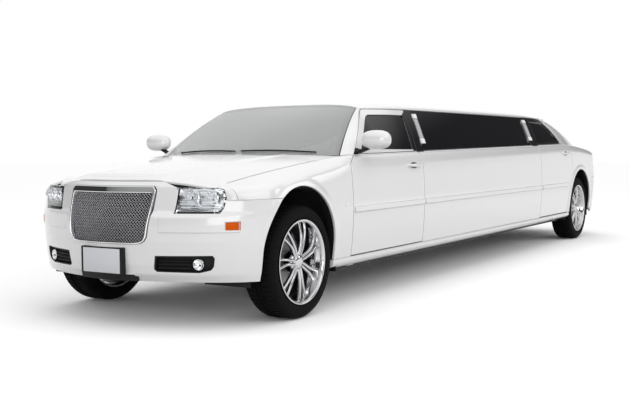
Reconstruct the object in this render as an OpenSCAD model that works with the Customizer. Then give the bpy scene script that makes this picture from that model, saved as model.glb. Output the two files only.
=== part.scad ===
// Stretch limousine made from a full-size sedan.
// Millimetres. +X to the nose, +Y to the car's left, +Z up, ground at z = 0.

/* [Overall] */
// Wheelbase of the sedan before a length is let in
sedan_wheelbase = 3048; // [2900:1:3200]
// Length let into the middle of the car
stretch = 3048; // [2000:1:4000]
// Front axle to the nose
front_overhang = 860; // [830:1:920]
// Rear axle to the tail
rear_overhang = 1090; // [1040:1:1150]
// Width over the body sides
body_w = 1882; // [1840:1:1930]
// Height of the roof
body_h = 1490; // [1470:1:1530]

/* [Body lines] */
// Bottom edge of the doors
door_z = 345; // [330:1:365]
// Height of the widest line of the sides
waist_z = 690; // [650:1:730]
// Place of the belt between the waist and the roof, as a share
belt_share = 0.43; // [0.38:0.01:0.48]
// Rise of the belt from the front door to the rear door
belt_rise = 74; // [40:1:90]
// Draw-in of the sides from the waist to the door bottoms
low_bow = 24; // [10:1:40]
// Draw-in of the sides from the waist to the shoulder crease
high_bow = 14; // [5:1:25]
// Height of the shoulder, crease to belt
shoulder_h = 92; // [70:1:110]
// Depth of the nose curve seen from above
nose_depth = 555; // [520:1:600]
// Depth of the tail curve seen from above
tail_depth = 600; // [560:1:640]
// Width of the shut lines
gap = 7; // [6:0.5:9]

/* [Panels] */
// Thickness of a door below the belt
door_t = 80; // [65:1:85]
// Thickness of the window frames
frame_t = 42; // [35:1:50]
// Thickness of fenders, quarters and bumpers
skin_t = 28; // [20:1:34]
// Thickness of the hood and the boot lid
lid_t = 30; // [24:1:36]
// Thickness of the window glass
glass_t = 6; // [4:0.5:8]

/* [Wheels] */
// Distance between wheel centres, left to right
track = 1600; // [1570:1:1620]
// Outer radius of the tyres
tyre_r = 364; // [355:1:370]
// Width of the tyres
tyre_w = 234; // [225:1:245]
// Radius of the rim flanges
rim_r = 270; // [255:1:276]
// Width of the rims over the flanges
rim_w = 226; // [215:1:232]
// Pairs of spokes in a wheel
spoke_pairs = 7; // [5:1:9]
// Radius of the wheel arches in the panels
arch_r = 400; // [392:1:410]
// Height of the centres of the front arches
front_arch_z = 450; // [440:1:460]
// Height of the centres of the rear arches
rear_arch_z = 422; // [412:1:435]
// Lead of the front arches over the wheels
arch_lead = 32; // [20:1:38]
// Radius of the wheel wells behind the arches
well_r = 432; // [428:1:440]
// Height of the centres of the wheel wells
well_z = 386; // [375:1:395]
// Radius of the wheel spindles
spindle_r = 30; // [24:1:34]
// Running clearance of spindles and king pins
run_c = 0.05; // [0.02:0.01:0.1]
// Distance of the king pins from the middle of the car
king_y = 712; // [706:1:716]

/* [Grille] */
// Half width of the grille frame at the top
grille_top_w = 352; // [330:1:370]
// Half width of the grille frame at the bottom
grille_low_w = 296; // [280:1:310]
// Stand of the grille frame out of the nose
grille_out = 10; // [6:1:14]
// Spacing of the wires in the grille mesh
mesh_pitch = 40; // [32:1:60]
// Thickness of a wire of the mesh
mesh_wire = 7; // [5:0.5:9]

/* [Hidden] */
$fn = 48;

half_w = body_w / 2;
length = front_overhang + sedan_wheelbase + stretch + rear_overhang;
front_x = length / 2;
rear_x = -length / 2;
fa = front_x - front_overhang;
ra = rear_x + rear_overhang;
nose_x0 = front_x - grille_out - nose_depth;
tail_x0 = rear_x + tail_depth;
nose_p = 1.4;
nose_q = 2.3;
tail_p = 2;
tail_q = 2.4;
belt_z = waist_z + (body_h - waist_z) * belt_share;
nose_z = waist_z + 172;
floor_w = half_w - 141;
// Reach of the cuts that shape the sides
y_in = half_w - 641;
y_out = half_w + 60;

// Seam along the top of the sides: hood edge, belt and boot edge. Columns: x, y, z.
SEAM = [
  [fa + 590, half_w - 263, nose_z],
  [fa + 300, half_w - 199, nose_z + (belt_z - nose_z) * 0.33],
  [fa, half_w - 177, nose_z + (belt_z - nose_z) * 0.57],
  [fa - 350, half_w - 155, nose_z + (belt_z - nose_z) * 0.82],
  [fa - 606, half_w - 84, belt_z - 2],
  [fa - 1200, half_w - 66, belt_z + 10],
  [ra + 900, half_w - 62, belt_z + belt_rise],
  [ra + 350, half_w - 70, belt_z + belt_rise + 4],
  [ra - 150, half_w - 150, belt_z + belt_rise - 8],
  [ra - 600, half_w - 189, belt_z + belt_rise - 46],
  [ra - 1000, half_w - 250, belt_z + belt_rise - 100]
];
// Lower edge of the roof rails. Columns: x, y, z.
RAIL = [
  [fa - 1200, half_w - 301, body_h - 104],
  [fa - 1700, half_w - 257, body_h - 94],
  [ra + 1200, half_w - 251, body_h - 84],
  [ra + 430, half_w - 313, body_h - 90]
];
// Roof along the middle of the car. Columns: x, z.
ROOF = [
  [fa - 1285, body_h - 60],
  [fa - 1700, body_h - 21],
  [fa - 2300, body_h - 2],
  [fa - 2900, body_h],
  [ra + 1700, body_h],
  [ra + 1000, body_h - 14],
  [ra + 450, body_h - 54]
];
// Crown of the hood over the seam along the middle of the car. Columns: x, height.
HOOD = [[fa + 770, 43], [fa + 600, 78], [fa + 300, 62], [fa, 51], [fa - 300, 43], [fa - 500, 37]];
// Crown of the boot deck over the seam. Columns: x, height.
DECK = [[ra - 200, 24], [ra - 600, 40], [ra - 1000, 70]];
// Lean of the nose and of the tail. Columns: z, distance behind the foremost line.
NOSE_LEAN = [[285, 60], [330, 26], [400, 12], [540, 0], [nose_z - 232, 0], [nose_z - 172, 10],
             [nose_z - 147, 34], [nose_z, 66], [nose_z + 38, 92]];
TAIL_LEAN = [[285, 60], [330, 22], [420, 6], [560, 0], [700, 0], [725, 20], [900, 32],
             [1010, 50], [1080, 80]];

function lerp(a, b, t) = a + (b - a) * t;
function clamp(v, lo, hi) = max(lo, min(hi, v));
function bez(a, b, c, t) = a * (1 - t) * (1 - t) + b * 2 * t * (1 - t) + c * t * t;
function arc(c, r, a0, a1, n) =
  [for (i = [0 : n]) let (a = lerp(a0, a1, i / n)) [c[0] + r * cos(a), c[1] + r * sin(a)]];
function span(a, b, n) = [for (i = [0 : n]) lerp(a, b, i / n)];

// Smooth value of column c at x of a table whose first column falls.
function seg(t, x, i = 0) = i >= len(t) - 2 || x >= t[i + 1][0] ? i : seg(t, x, i + 1);
function slope(t, i, c) = let (a = max(i - 1, 0), b = min(i + 1, len(t) - 1))
  (t[b][c] - t[a][c]) / (t[b][0] - t[a][0]);
function through(t, x, c) =
  let (i = seg(t, x), h = t[i + 1][0] - t[i][0], s = clamp((x - t[i][0]) / h, 0, 1))
  t[i][c] * (1 + 2 * s) * (1 - s) * (1 - s) + slope(t, i, c) * h * s * (1 - s) * (1 - s)
  + t[i + 1][c] * s * s * (3 - 2 * s) + slope(t, i + 1, c) * h * s * s * (s - 1);

// Plan of the body: half width at x, nose and tail at y.
function plan_y(x) =
  x > nose_x0 ? half_w * pow(1 - pow((x - nose_x0) / nose_depth, nose_q), 1 / nose_p)
  : x < tail_x0 ? half_w * pow(1 - pow((tail_x0 - x) / tail_depth, tail_q), 1 / tail_p)
  : half_w;
function nose_at(y) = nose_x0 + nose_depth * pow(1 - pow(abs(y) / half_w, nose_p), 1 / nose_q);
function tail_at(y) = tail_x0 - tail_depth * pow(1 - pow(abs(y) / half_w, tail_p), 1 / tail_q);

function crease_z(x) = through(SEAM, x, 2) - shoulder_h;
function bow(x, z) = z < waist_z
  ? low_bow * pow((waist_z - z) / (waist_z - door_z), 2)
  : high_bow * pow((z - waist_z) / (crease_z(x) - waist_z), 2);
function side_y(x, z) = plan_y(x) - bow(x, z);

// Point of the left side at x: v 0 to 1 bottom to crease, 1 to 2 shoulder, 2 to 3 window.
function side_pt(x, v, z0) =
  let (cz = crease_z(x), cy = side_y(x, cz), sy = through(SEAM, x, 1), sz = through(SEAM, x, 2),
       z = lerp(z0, cz, v), t = v - 2)
  v <= 1 ? [x, side_y(x, z), z]
  : v <= 2 ? let (b = bez([cy, cz], [cy - 8, sz - 10], [sy, sz], v - 1)) [x, b[0], b[1]]
  : [x, lerp(sy, through(RAIL, x, 1), t) + 26 * t * (1 - t), lerp(sz, through(RAIL, x, 2), t)];

function roof_front(w) = fa - 1285 + 65 * w * w;
function roof_rear(w) = ra + 450 - 22 * w * w;
function roof_pt(x, w, t) =
  let (ry = through(RAIL, x, 1), rz = through(RAIL, x, 2), k = pow(1 - pow(abs(w), 3), 1 / 1.5))
  [x, w * (ry - t), rz + (through(ROOF, x, 1) - rz - t) * k];

function crown_z(t, x, y) = through(SEAM, x, 2)
  + through(t, x, 1) * (1 - pow(min(1, abs(y) / through(SEAM, x, 1)), 2.4));
function hood_z(x, y) = crown_z(HOOD, x, y);
function deck_z(x, y) = crown_z(DECK, x, y);

// Points on the curved nose and tail: th turns from the middle to the side.
function nose_pt(th, z, in) =
  [nose_x0 + (nose_depth - in) * pow(cos(th), 2 / nose_q) - lookup(z, NOSE_LEAN) * cos(th),
   sign(th) * (half_w - in - bow(nose_x0, z)) * pow(abs(sin(th)), 2 / nose_p), z];
function tail_pt(th, z, in) =
  [tail_x0 - (tail_depth - in) * pow(cos(th), 2 / tail_q) + lookup(z, TAIL_LEAN) * cos(th),
   sign(th) * (half_w - in - bow(tail_x0, z)) * pow(abs(sin(th)), 2 / tail_p), z];

// Closed sheet between two grids of points.
module sheet(outer, inner) {
  m = len(outer);
  n = len(outer[0]);
  k = m * n;
  points = [for (g = [outer, inner], r = g, p = r) p];
  quads = concat(
    [for (i = [0 : m - 2], j = [0 : n - 2])
      [i * n + j, i * n + j + 1, (i + 1) * n + j + 1, (i + 1) * n + j]],
    [for (i = [0 : m - 2], j = [0 : n - 2])
      [k + i * n + j, k + (i + 1) * n + j, k + (i + 1) * n + j + 1, k + i * n + j + 1]],
    [for (i = [0 : m - 2]) [i * n, (i + 1) * n, k + (i + 1) * n, k + i * n]],
    [for (i = [0 : m - 2])
      [i * n + n - 1, k + i * n + n - 1, k + (i + 1) * n + n - 1, (i + 1) * n + n - 1]],
    [for (j = [0 : n - 2]) [j, k + j, k + j + 1, j + 1]],
    [for (j = [0 : n - 2])
      [k - n + j, k - n + j + 1, 2 * k - n + j + 1, 2 * k - n + j]]);
  tris = [for (q = quads, h = [0, 1]) h == 0 ? [q[0], q[1], q[2]] : [q[0], q[2], q[3]]];
  parts = [for (t = tris) cross(points[t[0]], points[t[1]]) * points[t[2]]];
  inside_out = parts * [for (p = parts) 1] > 0;
  polyhedron(points, inside_out ? [for (t = tris) [t[2], t[1], t[0]]] : tris);
}
module along_y(y0, y1) { rotate([90, 0, 0]) translate([0, 0, -y1]) linear_extrude(y1 - y0) children(); }
module along_x(x0, x1) { rotate([90, 0, 90]) translate([0, 0, x0]) linear_extrude(x1 - x0) children(); }
module along_z(z0, z1) { translate([0, 0, z0]) linear_extrude(z1 - z0) children(); }
module both() { children(); mirror([0, 1, 0]) children(); }
module block(x0, x1, y0, y1, z0, z1) { translate([x0, y0, z0]) cube([x1 - x0, y1 - y0, z1 - z0]); }
module rod_y(x, z, r, y0, y1) { translate([x, y0, z]) rotate([-90, 0, 0]) cylinder(r = r, h = y1 - y0); }
module rod_z(x, y, r, z0, z1) { translate([x, y, z0]) cylinder(r = r, h = z1 - z0); }

// Piece of the left side from station to station; t_low and t_high are thicknesses.
module side_sheet(xs, vs, z0, t_low, t_high, turn) {
  grid = [for (x = xs) [for (v = vs) side_pt(x, v, z0)]];
  sheet(grid, [for (i = [0 : len(xs) - 1]) [for (j = [0 : len(vs) - 1])
    let (a = clamp(vs[j] - 1, 0, 1) * turn, t = vs[j] <= 2 ? t_low : t_high)
    grid[i][j] - [0, t * cos(a), t * sin(a)]]]);
}
module nose_sheet(ths, zs, out, t) {
  sheet([for (a = ths) [for (z = zs) nose_pt(a, z, -out)]],
        [for (a = ths) [for (z = zs) nose_pt(a, z, t - out)]]);
}
module tail_sheet(ths, zs, out, t) {
  sheet([for (a = ths) [for (z = zs) tail_pt(a, z, -out)]],
        [for (a = ths) [for (z = zs) tail_pt(a, z, t - out)]]);
}

// Door lines seen from the side.
fd0 = fa - 606;
fd1 = fa - 1762;
rd0 = ra + 1440;
b_low = fd1 + 60;
b_w = 128;
b_lean = 135;
c_low = rd0 + 20;
c_w = 150;
c_lean = 190;
// Hinges of the doors, the hood and the boot lid.
hinge_in = 15;
hinge_back = 70;
pin_r = 5;
strap = pin_r - 1;
HINGE_Z = [waist_z - 170, waist_z + 110];
cowl_w = half_w - 156;
back_w = half_w - 236;
boot_w = half_w - 157;
seam_z = nose_z - 79;
hood_hx = fa - 555;
hood_hz = through(SEAM, hood_hx, 2) - 15;
hood_hinge_y = half_w - 127;
function on_side(x, v) = let (p = side_pt(x, v, door_z)) [p[0], p[2]];
function a_line(t) = on_side(lerp(fa - 740, fa - 1245, t), 2 + t);
function lean_line(x, lean, t) = on_side(x - lean * t, 2 + t);
D_LINE = [[ra + 580, 0], [ra + 490, 1], [ra + 900, 1]];
function d_at(t) = bez(D_LINE[0], D_LINE[1], D_LINE[2], t);
function d_line(t) = let (b = d_at(t)) on_side(b[0], 2 + b[1]);
function shift(l, dx, dz) = [for (p = l) [p[0] + dx, p[1] + dz]];

module front_door_outline() {
  polygon(concat(
    [[fd0 - gap, door_z], [fd0 - gap, belt_z - 60]],
    shift([for (t = [0 : 0.125 : 0.97]) a_line(t)], -gap, 0),
    shift([for (x = [fa - 1255, fa - 1500, fd1 - b_lean + 20 + gap]) on_side(x, 3)], -gap, -gap),
    shift([for (t = [0.9 : -0.3 : 0]) lean_line(fd1 + 20, b_lean, t)], 0, 0),
    [[fd1 + gap, belt_z - 20], [fd1 + gap, door_z]]));
}
module front_window_outline(k) {
  c = [fa - 1400, belt_z + 166];
  translate(c) scale(k) translate(-c) polygon(concat(
    shift([for (t = [0.1 : 0.1 : 0.85]) a_line(t)], -gap - 95, 8),
    shift([for (x = [fa - 1290, fa - 1500, fd1 - 66]) on_side(x, 3)], 0, -48),
    [for (t = [0.8 : -0.2 : 0.06]) lean_line(fd1 + 64, b_lean, t)]));
}
module rear_door_outline() {
  polygon(concat(
    [[rd0 - gap, door_z], [rd0 - gap, belt_z + 30]],
    shift([for (t = [0.1 : 0.3 : 0.97]) lean_line(rd0 - 14, c_lean, t)], -gap, 0),
    shift([for (x = [rd0 - 14 - c_lean, D_LINE[2][0] + 20]) on_side(x, 3)], 0, -gap),
    [for (t = [0.96 : -0.12 : 0]) d_line(t) + gap * [1.75 - t, -0.9]],
    [[ra + 385, belt_z + belt_rise - 60], [ra + 330, belt_z - 60]],
    arc([ra, rear_arch_z], arch_r + 66 + gap, 52, 2, 8),
    [[ra + arch_r + 72 + gap, door_z]]));
}
module rear_window_outline(k) {
  c = [ra + 1060, belt_z + 186];
  translate(c) scale(k) translate(-c) polygon(concat(
    [for (t = [0.06 : 0.2 : 0.9]) lean_line(rd0 - 62, c_lean, t)],
    shift([for (x = [rd0 - 62 - c_lean, D_LINE[2][0] + 40]) on_side(x, 3)], 0, -48),
    shift([for (t = [0.8 : -0.1 : 0.1]) d_line(t)], 56, -12)));
}
module arch_cut(x, z) {
  along_y(y_in, y_out)
    polygon(concat([[x - arch_r, 0]], arc([x, z], arch_r, 180, 0, 28), [[x + arch_r, 0]]));
}

LOW = [0, 0.14, 0.3, 0.5, 0.7, 0.88, 1];
SHOULDER = [1.25, 1.5, 1.75, 2];
WINDOW = [2.15, 2.5, 2.8, 3];

module floor_pan() {
  tunnel = 120;
  front = fa - well_r - 24;
  rear = ra + well_r + 24;
  color("DimGray") difference() {
    union() {
      w = floor_w - 200;
      block(rear, front, -floor_w, floor_w, 240, 300);
      block(rear - 40, rear, -w, w, 240, 480);
      block(ra - well_r - 25, rear, -w, w, 440, 480);
      block(rear_x + 400, ra - well_r - 24, 60 - floor_w, floor_w - 60, 440, 480);
      block(rear - 20, front, -tunnel, tunnel, 290, 420);
    }
    block(rear - 50, front + 1, 20 - tunnel, tunnel - 20, 200, 400);
  }
}
module bulkheads() {
  w = fa - well_r - 24;
  color("DarkSlateGray") {
    difference() {
      block(w - 40, w, 60 - floor_w, floor_w - 60, 300, belt_z - 49);
      block(w - 41, w + 1, -120.3, 120.3, 299, 420.3);
    }
    // Cowl between the hood and the windshield
    cowl = [for (s = span(-1, 1, 12)) [for (u = [0, 1])
      lerp([fa - 427 - 150 * s * s, cowl_w * s, belt_z - 12 - 20 * s * s],
           [fa - 470 - 205 * s * s, cowl_w * s, belt_z + 14 - 20 * s * s], u)]];
    sheet(cowl, [for (r = cowl) [for (p = r) [p[0], p[1], belt_z - 50]]]);
    // Parcel shelf and the wall behind the rear seat
    h = floor_w - 200;
    block(ra + 200, ra + 240, -h, h, 480, belt_z + 26);
    block(ra - 180, ra + 201, -h, h, belt_z - 4, belt_z + 26);
  }
}
// Posts inside the body with the straps and pins of the doors and of the hood.
module hinge_posts() {
  y = half_w - hinge_in;
  color("DimGray") both() {
    for (x = [fd0 - gap - hinge_back, rd0 - gap - hinge_back]) {
      block(x - 20, x + 20, floor_w - 50, floor_w, 300, waist_z + 240);
      for (z = HINGE_Z) {
        block(x - strap, x + strap, floor_w - 1, y, z - 20, z + 20);
        rod_z(x, y, pin_r, z - 50, z + 50);
      }
    }
    z = waist_z + 190;
    h = hood_hinge_y;
    block(fd0 - gap - hinge_back, hood_hx + 7, floor_w - 40, floor_w, z, z + 40);
    block(hood_hx - 20, hood_hx + 7, floor_w - 1, h + 6, z, z + 40);
    block(hood_hx - strap, hood_hx + strap, h - 5, h + 5, z + 30, hood_hz);
    rod_y(hood_hx, hood_hz, pin_r, h - 16, h + 16);
  }
}
// Spaces for them in a door, in the hood and in the boot lid.
module door_hinge_space(x0) {
  x = x0 - gap - hinge_back;
  y = half_w - hinge_in;
  for (z = HINGE_Z) {
    block(x - 12, x0 + 1, y_in, y + pin_r + 1.5, z - 26, z + 26);
    rod_z(x, y, pin_r + run_c, z - 54, z + 54);
  }
}
module lid_hinge_space(x, y, z, x0, x1) {
  both() {
    block(x0, x1, y - 11, y + 11, z - 200, z + pin_r + 1.5);
    rod_y(x, z, pin_r + run_c, y - 20, y + 20);
  }
}
module rocker_panels() {
  color("White") both() {
    x0 = fa - well_r - 24;
    x1 = ra + well_r + 24;
    y = half_w - low_bow;
    along_x(x1, x0) polygon([
      [floor_w, 275], [y - 36, 275], [y - 12, 290], [y + 2, 318],
      [y, door_z - gap], [floor_w, door_z - gap]]);
    for (e = [[x0 - 1, fa + arch_lead - arch_r], [ra + arch_r, x1 + 1]]) along_x(e[0], e[1]) polygon([
      [y - 28, 282], [y - 12, 290], [y + 2, 318], [y, door_z - gap], [y - 28, door_z - gap]]);
    for (x = [fa - 720, ra + 720]) block(x - 40, x + 40, floor_w + 10, floor_w + 50, 262, 280);
  }
}
module wheel_liners() {
  out = half_w - 53.5;
  color("Black") both() for (a = [[fa, 480, out], [ra, floor_w - 200, out]])
    difference() {
      union() {
        rod_y(a[0], well_z, well_r + 24, a[1], a[2]);
        block(a[0] - well_r - 24, a[0] + well_r + 24, a[1], a[2], 250, well_z);
      }
      rod_y(a[0], well_z, well_r + 16, a[1] - 1, a[2] + 1);
      block(a[0] - well_r - 16, a[0] + well_r + 16, a[1] - 1, a[2] + 1, 200, well_z);
      block(a[0] - well_r, a[0] + well_r, a[1] - 1, a[2] + 1, -100, 201);
      block(fa + well_r - 52, fa + well_r + 60, half_w - 117, half_w, 0, 800);
    }
}
// End of the front bumper beside the wheel
wing_x = nose_x0 + nose_depth * pow(cos(88), 2 / nose_q) - 4;
module front_fenders() {
  color("White") both() difference() {
    side_sheet(concat([fa - 746, fa - 680], span(fd0, fa - 440, 2), span(fa - 300, fa + 550, 9)),
      concat(LOW, SHOULDER), door_z - gap + 0.3, skin_t, skin_t, 90);
    arch_cut(fa + arch_lead, front_arch_z);
    along_y(y_in, y_out)
      polygon([[wing_x, 0], [fa + 700, 0], [fa + 700, seam_z + 0.4], [wing_x, seam_z + 0.4]]);
    // Front door
    along_y(y_in, y_out) polygon([[fd0, 0], [fd0, belt_z - 60 + 3], [fa - 738, belt_z + 3],
      [fa - 800, belt_z + 3], [fa - 800, 0]]);
  }
}
module stretch_sides() {
  color("White") both()
    side_sheet([fd1, lerp(fd1, rd0, 0.5), rd0], concat(LOW, SHOULDER), door_z - gap + 0.3,
      door_t, door_t, 0);
}
module quarter_panels() {
  color("White") both() difference() {
    side_sheet(concat(span(ra + 540, ra + 300, 2), span(ra + 180, rear_x + 345, 9)),
      concat(LOW, SHOULDER), door_z - gap + 0.3, skin_t, skin_t, 90);
    arch_cut(ra, rear_arch_z);
    rear_door_space();
    along_y(y_in, y_out)
      polygon([[rear_x - 10, 0], [tail_x0 + 0.4, 0], [tail_x0 + 0.4, 725.4], [rear_x - 10, 725.4]]);
  }
}
// Space of the rear door in the quarter panel: the door outline moved by a shut line.
module rear_door_space() {
  along_y(y_in, y_out) polygon(concat(
    [[ra + 900, 0], [ra + 900, belt_z + 200], [ra + 385 - gap, belt_z + 200],
     [ra + 385 - gap, belt_z + belt_rise - 60], [ra + 330 - gap, belt_z - 60]],
    arc([ra, rear_arch_z], arch_r + 66, 52, 2, 8),
    [[ra + arch_r + 72, door_z - gap], [ra + arch_r + 72, 0]]));
}
module roof() {
  us = [0, 0.02, 0.06, 0.12, 0.2, 0.35, 0.65, 0.78, 0.86, 0.92, 0.97, 1];
  ws = [-1, -0.985, -0.94, -0.86, -0.74, -0.55, -0.28, 0, 0.28, 0.55, 0.74, 0.86, 0.94, 0.985, 1];
  color("White") sheet(
    [for (u = us) [for (w = ws) roof_pt(lerp(roof_front(w), roof_rear(w), u), w, 0)]],
    [for (u = us) [for (w = ws) roof_pt(lerp(roof_front(w) - 10, roof_rear(w) + 10, u), w, frame_t)]]);
}
// Windshield and rear window: s across, v from the base to the roof.
function shield_pt(s, v, d) =
  let (b = [fa - 470 - 205 * s * s, cowl_w * s, belt_z + 20 - 20 * s * s],
       r = roof_pt(roof_front(0.965 * s), 0.965 * s, 0) + [3, 0, -4], k = 4 * v * (1 - v))
  lerp(b, r, v) + [10 * k, 0, 22 * k] - d * [0.4, 0.25 * s, 0.88];
function back_pt(s, v, d) =
  let (b = [ra - 235 + 60 * s * s, back_w * s, belt_z + belt_rise + 12 - 14 * s * s],
       r = roof_pt(roof_rear(0.965 * s), 0.965 * s, 0) + [-3, 0, -4], k = 4 * v * (1 - v))
  lerp(b, r, v) + [-8 * k, 0, 20 * k] - d * [-0.4, 0.25 * s, 0.88];
module pillars() {
  vs = span(0, 0.983, 6);
  color("White") both() {
    a_out = [for (v = vs) [shield_pt(1.008, v, 0), lerp(shield_pt(1.008, v, 0), a_edge(v), 0.5) + [4, 4, 4],
                           a_edge(v)]];
    sheet(a_out, [for (i = [0 : 6]) [a_out[i][0] - 12 * [0.4, 0.25, 0.88],
      a_out[i][1] - 30 * [0.1, 0.9, 0.2], a_out[i][2] - [0, 36, 0]]]);
    // Fender top between the hood, the cowl and the pillar foot
    foot = [for (u = [0, 0.5, 1]) [for (w = [0, 0.5, 1])
      let (x = lerp(fa - 574, lerp(fa - 676, fa - 700, w), u),
           y = lerp(lerp(cowl_w + 0.4, cowl_w + 6, u), through(SEAM, x, 1) - 2.5, w))
      [x, y, lerp(lerp(belt_z - 4, belt_z - 1, u), through(SEAM, x, 2), w)]]];
    sheet(foot, [for (r = foot) [for (p = r) p - [0, 0, 14]]]);
    us = [0, 0.2, 0.4, 0.6, 0.8, 1];
    d_out = [for (v = vs) [for (u = us)
      let (e = back_pt(1.001, vs[6], 0), rx = lerp(d_edge(vs[6])[0], e[0], u), k = v / vs[6],
           top = lerp(lerp(d_edge(vs[6]), side_pt(rx, 2.983, door_z), min(1, 5 * u)), e, pow(u, 4)),
           l = d_edge(v) - lerp(d_edge(0), d_edge(vs[6]), k),
           r = back_pt(1.001, v, 0) - lerp(back_pt(1.001, 0, 0), back_pt(1.001, vs[6], 0), k))
      lerp(d_foot(u), top, k) + lerp(l, r, u) + 150 * u * (1 - u) * k * (1 - k) * [0, 1, 0.3]]];
    sheet(d_out, [for (i = [0 : 6]) [for (j = [0 : 5])
      d_out[i][j] - frame_t * lerp([0, 1, 0], [-0.4, 0.25, 0.88], us[j])]]);
  }
  // Deck strip between the rear window and the boot lid
  strip = [for (s = span(-1, 1, 12)) [for (u = [0, 1])
    let (x = lerp(ra - 235.4 + 60 * s * s, boot_front(s * back_w / boot_w) + gap, u))
    [x, back_w * s, deck_z(x, back_w * s)]]];
  color("White") sheet(strip, [for (r = strip) [for (p = r) p - [0, 0, 18]]]);
}
// Foot of the rear pillar: along the seam, then in to the corner of the window.
function d_foot(u) = u < 0.81
  ? let (x = lerp(D_LINE[0][0], ra - 178, u / 0.8)) [x, through(SEAM, x, 1) - 0.9, through(SEAM, x, 2) + 1.2]
  : back_pt(1.001, 0, 0);
function a_edge(t) = side_pt(lerp(fa - 740, fa - 1245, t), 2 + t, door_z);
function d_edge(t) = let (b = d_at(t)) side_pt(b[0], 2 + b[1], door_z);
module lean_sheet(x0, x1, lean0, lean1, n, in, t) {
  g = [for (i = [0 : n]) [for (v = [0, 0.2, 0.5, 0.8, 0.9985])
    side_pt(lerp(x0, x1, i / n) - lerp(lean0, lean1, i / n) * v, 2 + v, door_z) - [0, in, 0]]];
  sheet(g, [for (r = g) [for (p = r) p - [0, t, 0]]]);
}
module pillar_covers() {
  color("Black") both() {
    lean_sheet(fd1 + 12, fd1 - b_w + 20, b_lean, b_lean, 1, 4, frame_t);
    lean_sheet(rd0 + c_w, rd0 + 4, c_lean, c_lean, 1, 4, frame_t);
  }
}
module stretch_windows() {
  color("Black") both()
    lean_sheet(fd1 - b_w + 19, rd0 + c_w + 1, b_lean, c_lean, 4, 8, glass_t);
}
function hood_front(s) = nose_at(abs(s) * (half_w - 263)) - lerp(130, 104, min(1, abs(s) / 0.75));
function hood_rear(s) = fa - 415 - 150 * s * s;
module hood() {
  us = [0, 0.06, 0.16, 0.3, 0.45, 0.6, 0.75, 0.9, 1];
  ss = [-1, -0.95, -0.88, -0.75, -0.6, -0.4, -0.2, 0, 0.2, 0.4, 0.6, 0.75, 0.88, 0.95, 1];
  g = [for (u = us) [for (s = ss) let (x = lerp(hood_front(s), hood_rear(s), u),
    y = s * (through(SEAM, x, 1) - gap)) [x, y, hood_z(x, y) - (u == 0 ? 24 : 0)]]];
  color("White") difference() {
    sheet(g, [for (i = [0 : len(us) - 1]) [for (p = g[i]) p - [0, 0, i == 0 ? 16 : lid_t]]]);
    lid_hinge_space(hood_hx, hood_hinge_y, hood_hz, hood_hx - 60, hood_hx + 9);
  }
}
function boot_front(s) = ra - 265 + 75 * s * s;
module boot_lid() {
  ts = [0, 0.15, 0.35, 0.55, 0.75, 0.92, 1, 1.1, 1.35, 1.7, 2];
  ss = [-1, -0.93, -0.8, -0.6, -0.3, 0, 0.3, 0.6, 0.8, 0.93, 1];
  g = [for (t = ts) [for (s = ss) boot_pt(s, t, 0)]];
  color("White") sheet(g, [for (t = ts) [for (s = ss) boot_pt(s, t, lid_t)]]);
}
// Boot lid: t 0 to 1 along the deck, 1 to 2 down the rear face.
function boot_pt(s, t, d) =
  let (w1 = half_w - 256, w2 = half_w - 306,
       e = tail_at(s * w1) + 66, x = lerp(boot_front(s), e, min(t, 1)),
       y1 = s * (t >= 1 ? w1 : lerp(through(SEAM, x, 1) - gap, w1, t * t * t)),
       z1 = deck_z(x, y1), q = t - 1, y2 = s * lerp(w1, w2, q), z2 = lerp(deck_z(e, s * w1), 735, q))
  t <= 1 ? [x + d * t * 0.9, y1 * (1 - (t > 0.9 ? d / 800 : 0)), z1 - d]
  : [tail_at(y2) + lookup(z2, TAIL_LEAN) - 4 + d, y2 * (1 - d / 800),
     min(z2, deck_z(e, s * w1) - d * (t < 1.2 ? 1 : 0))];

module grille_outline(d) {
  t = nose_z + 10;
  polygon([[-grille_low_w + d, 512 + d], [grille_low_w - d, 512 + d], [grille_low_w + 16 - d, 540],
    [grille_top_w - d, t - 32], [grille_top_w - 18 - d, t - d], [-grille_top_w + 18 + d, t - d],
    [-grille_top_w + d, t - 32], [-grille_low_w - 16 + d, 540]]);
}
module lamp_outline(d) {
  i = grille_top_w + 116;
  o = half_w - 193;
  z = nose_z - 157;
  polygon([[i + d, z + d], [o - 24 - d, z + d], [o - 4 - d, z + 35], [o - d, z + 88], [o - 16 - d, z + 136],
    [o - 46 - d, z + 150 - d], [i + 12 + d, z + 149 - d]]);
}
module fog_outline(d) {
  i = grille_top_w;
  o = half_w - 243;
  polygon([[i + 6 + d, 450 - d], [i - 8 + d, 368], [i + 8 + d, 353 + d], [o - 90, 350 + d],
    [o - 26 - d, 366 + d], [o - 8 - d, 388], [o - d, 438], [o - 10 - d, 454 - d]]);
}
module marker_outline(d) {
  i = half_w - 182;
  o = half_w - 114;
  z = nose_z - 256;
  polygon([[i - d, z - d], [o + d, z + 1 - d], [o + d, z + 47 + d], [i - d, z + 45 + d]]);
}
NOSE_DZ = [-232, -172, -147, -79, -22, 10, 30];
NOSE_TH = [-88, -80, -72, -64, -56, -48, -41, -34, -27, -20, -13, -6, 0,
           6, 13, 20, 27, 34, 41, 48, 56, 64, 72, 80, 88];
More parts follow.
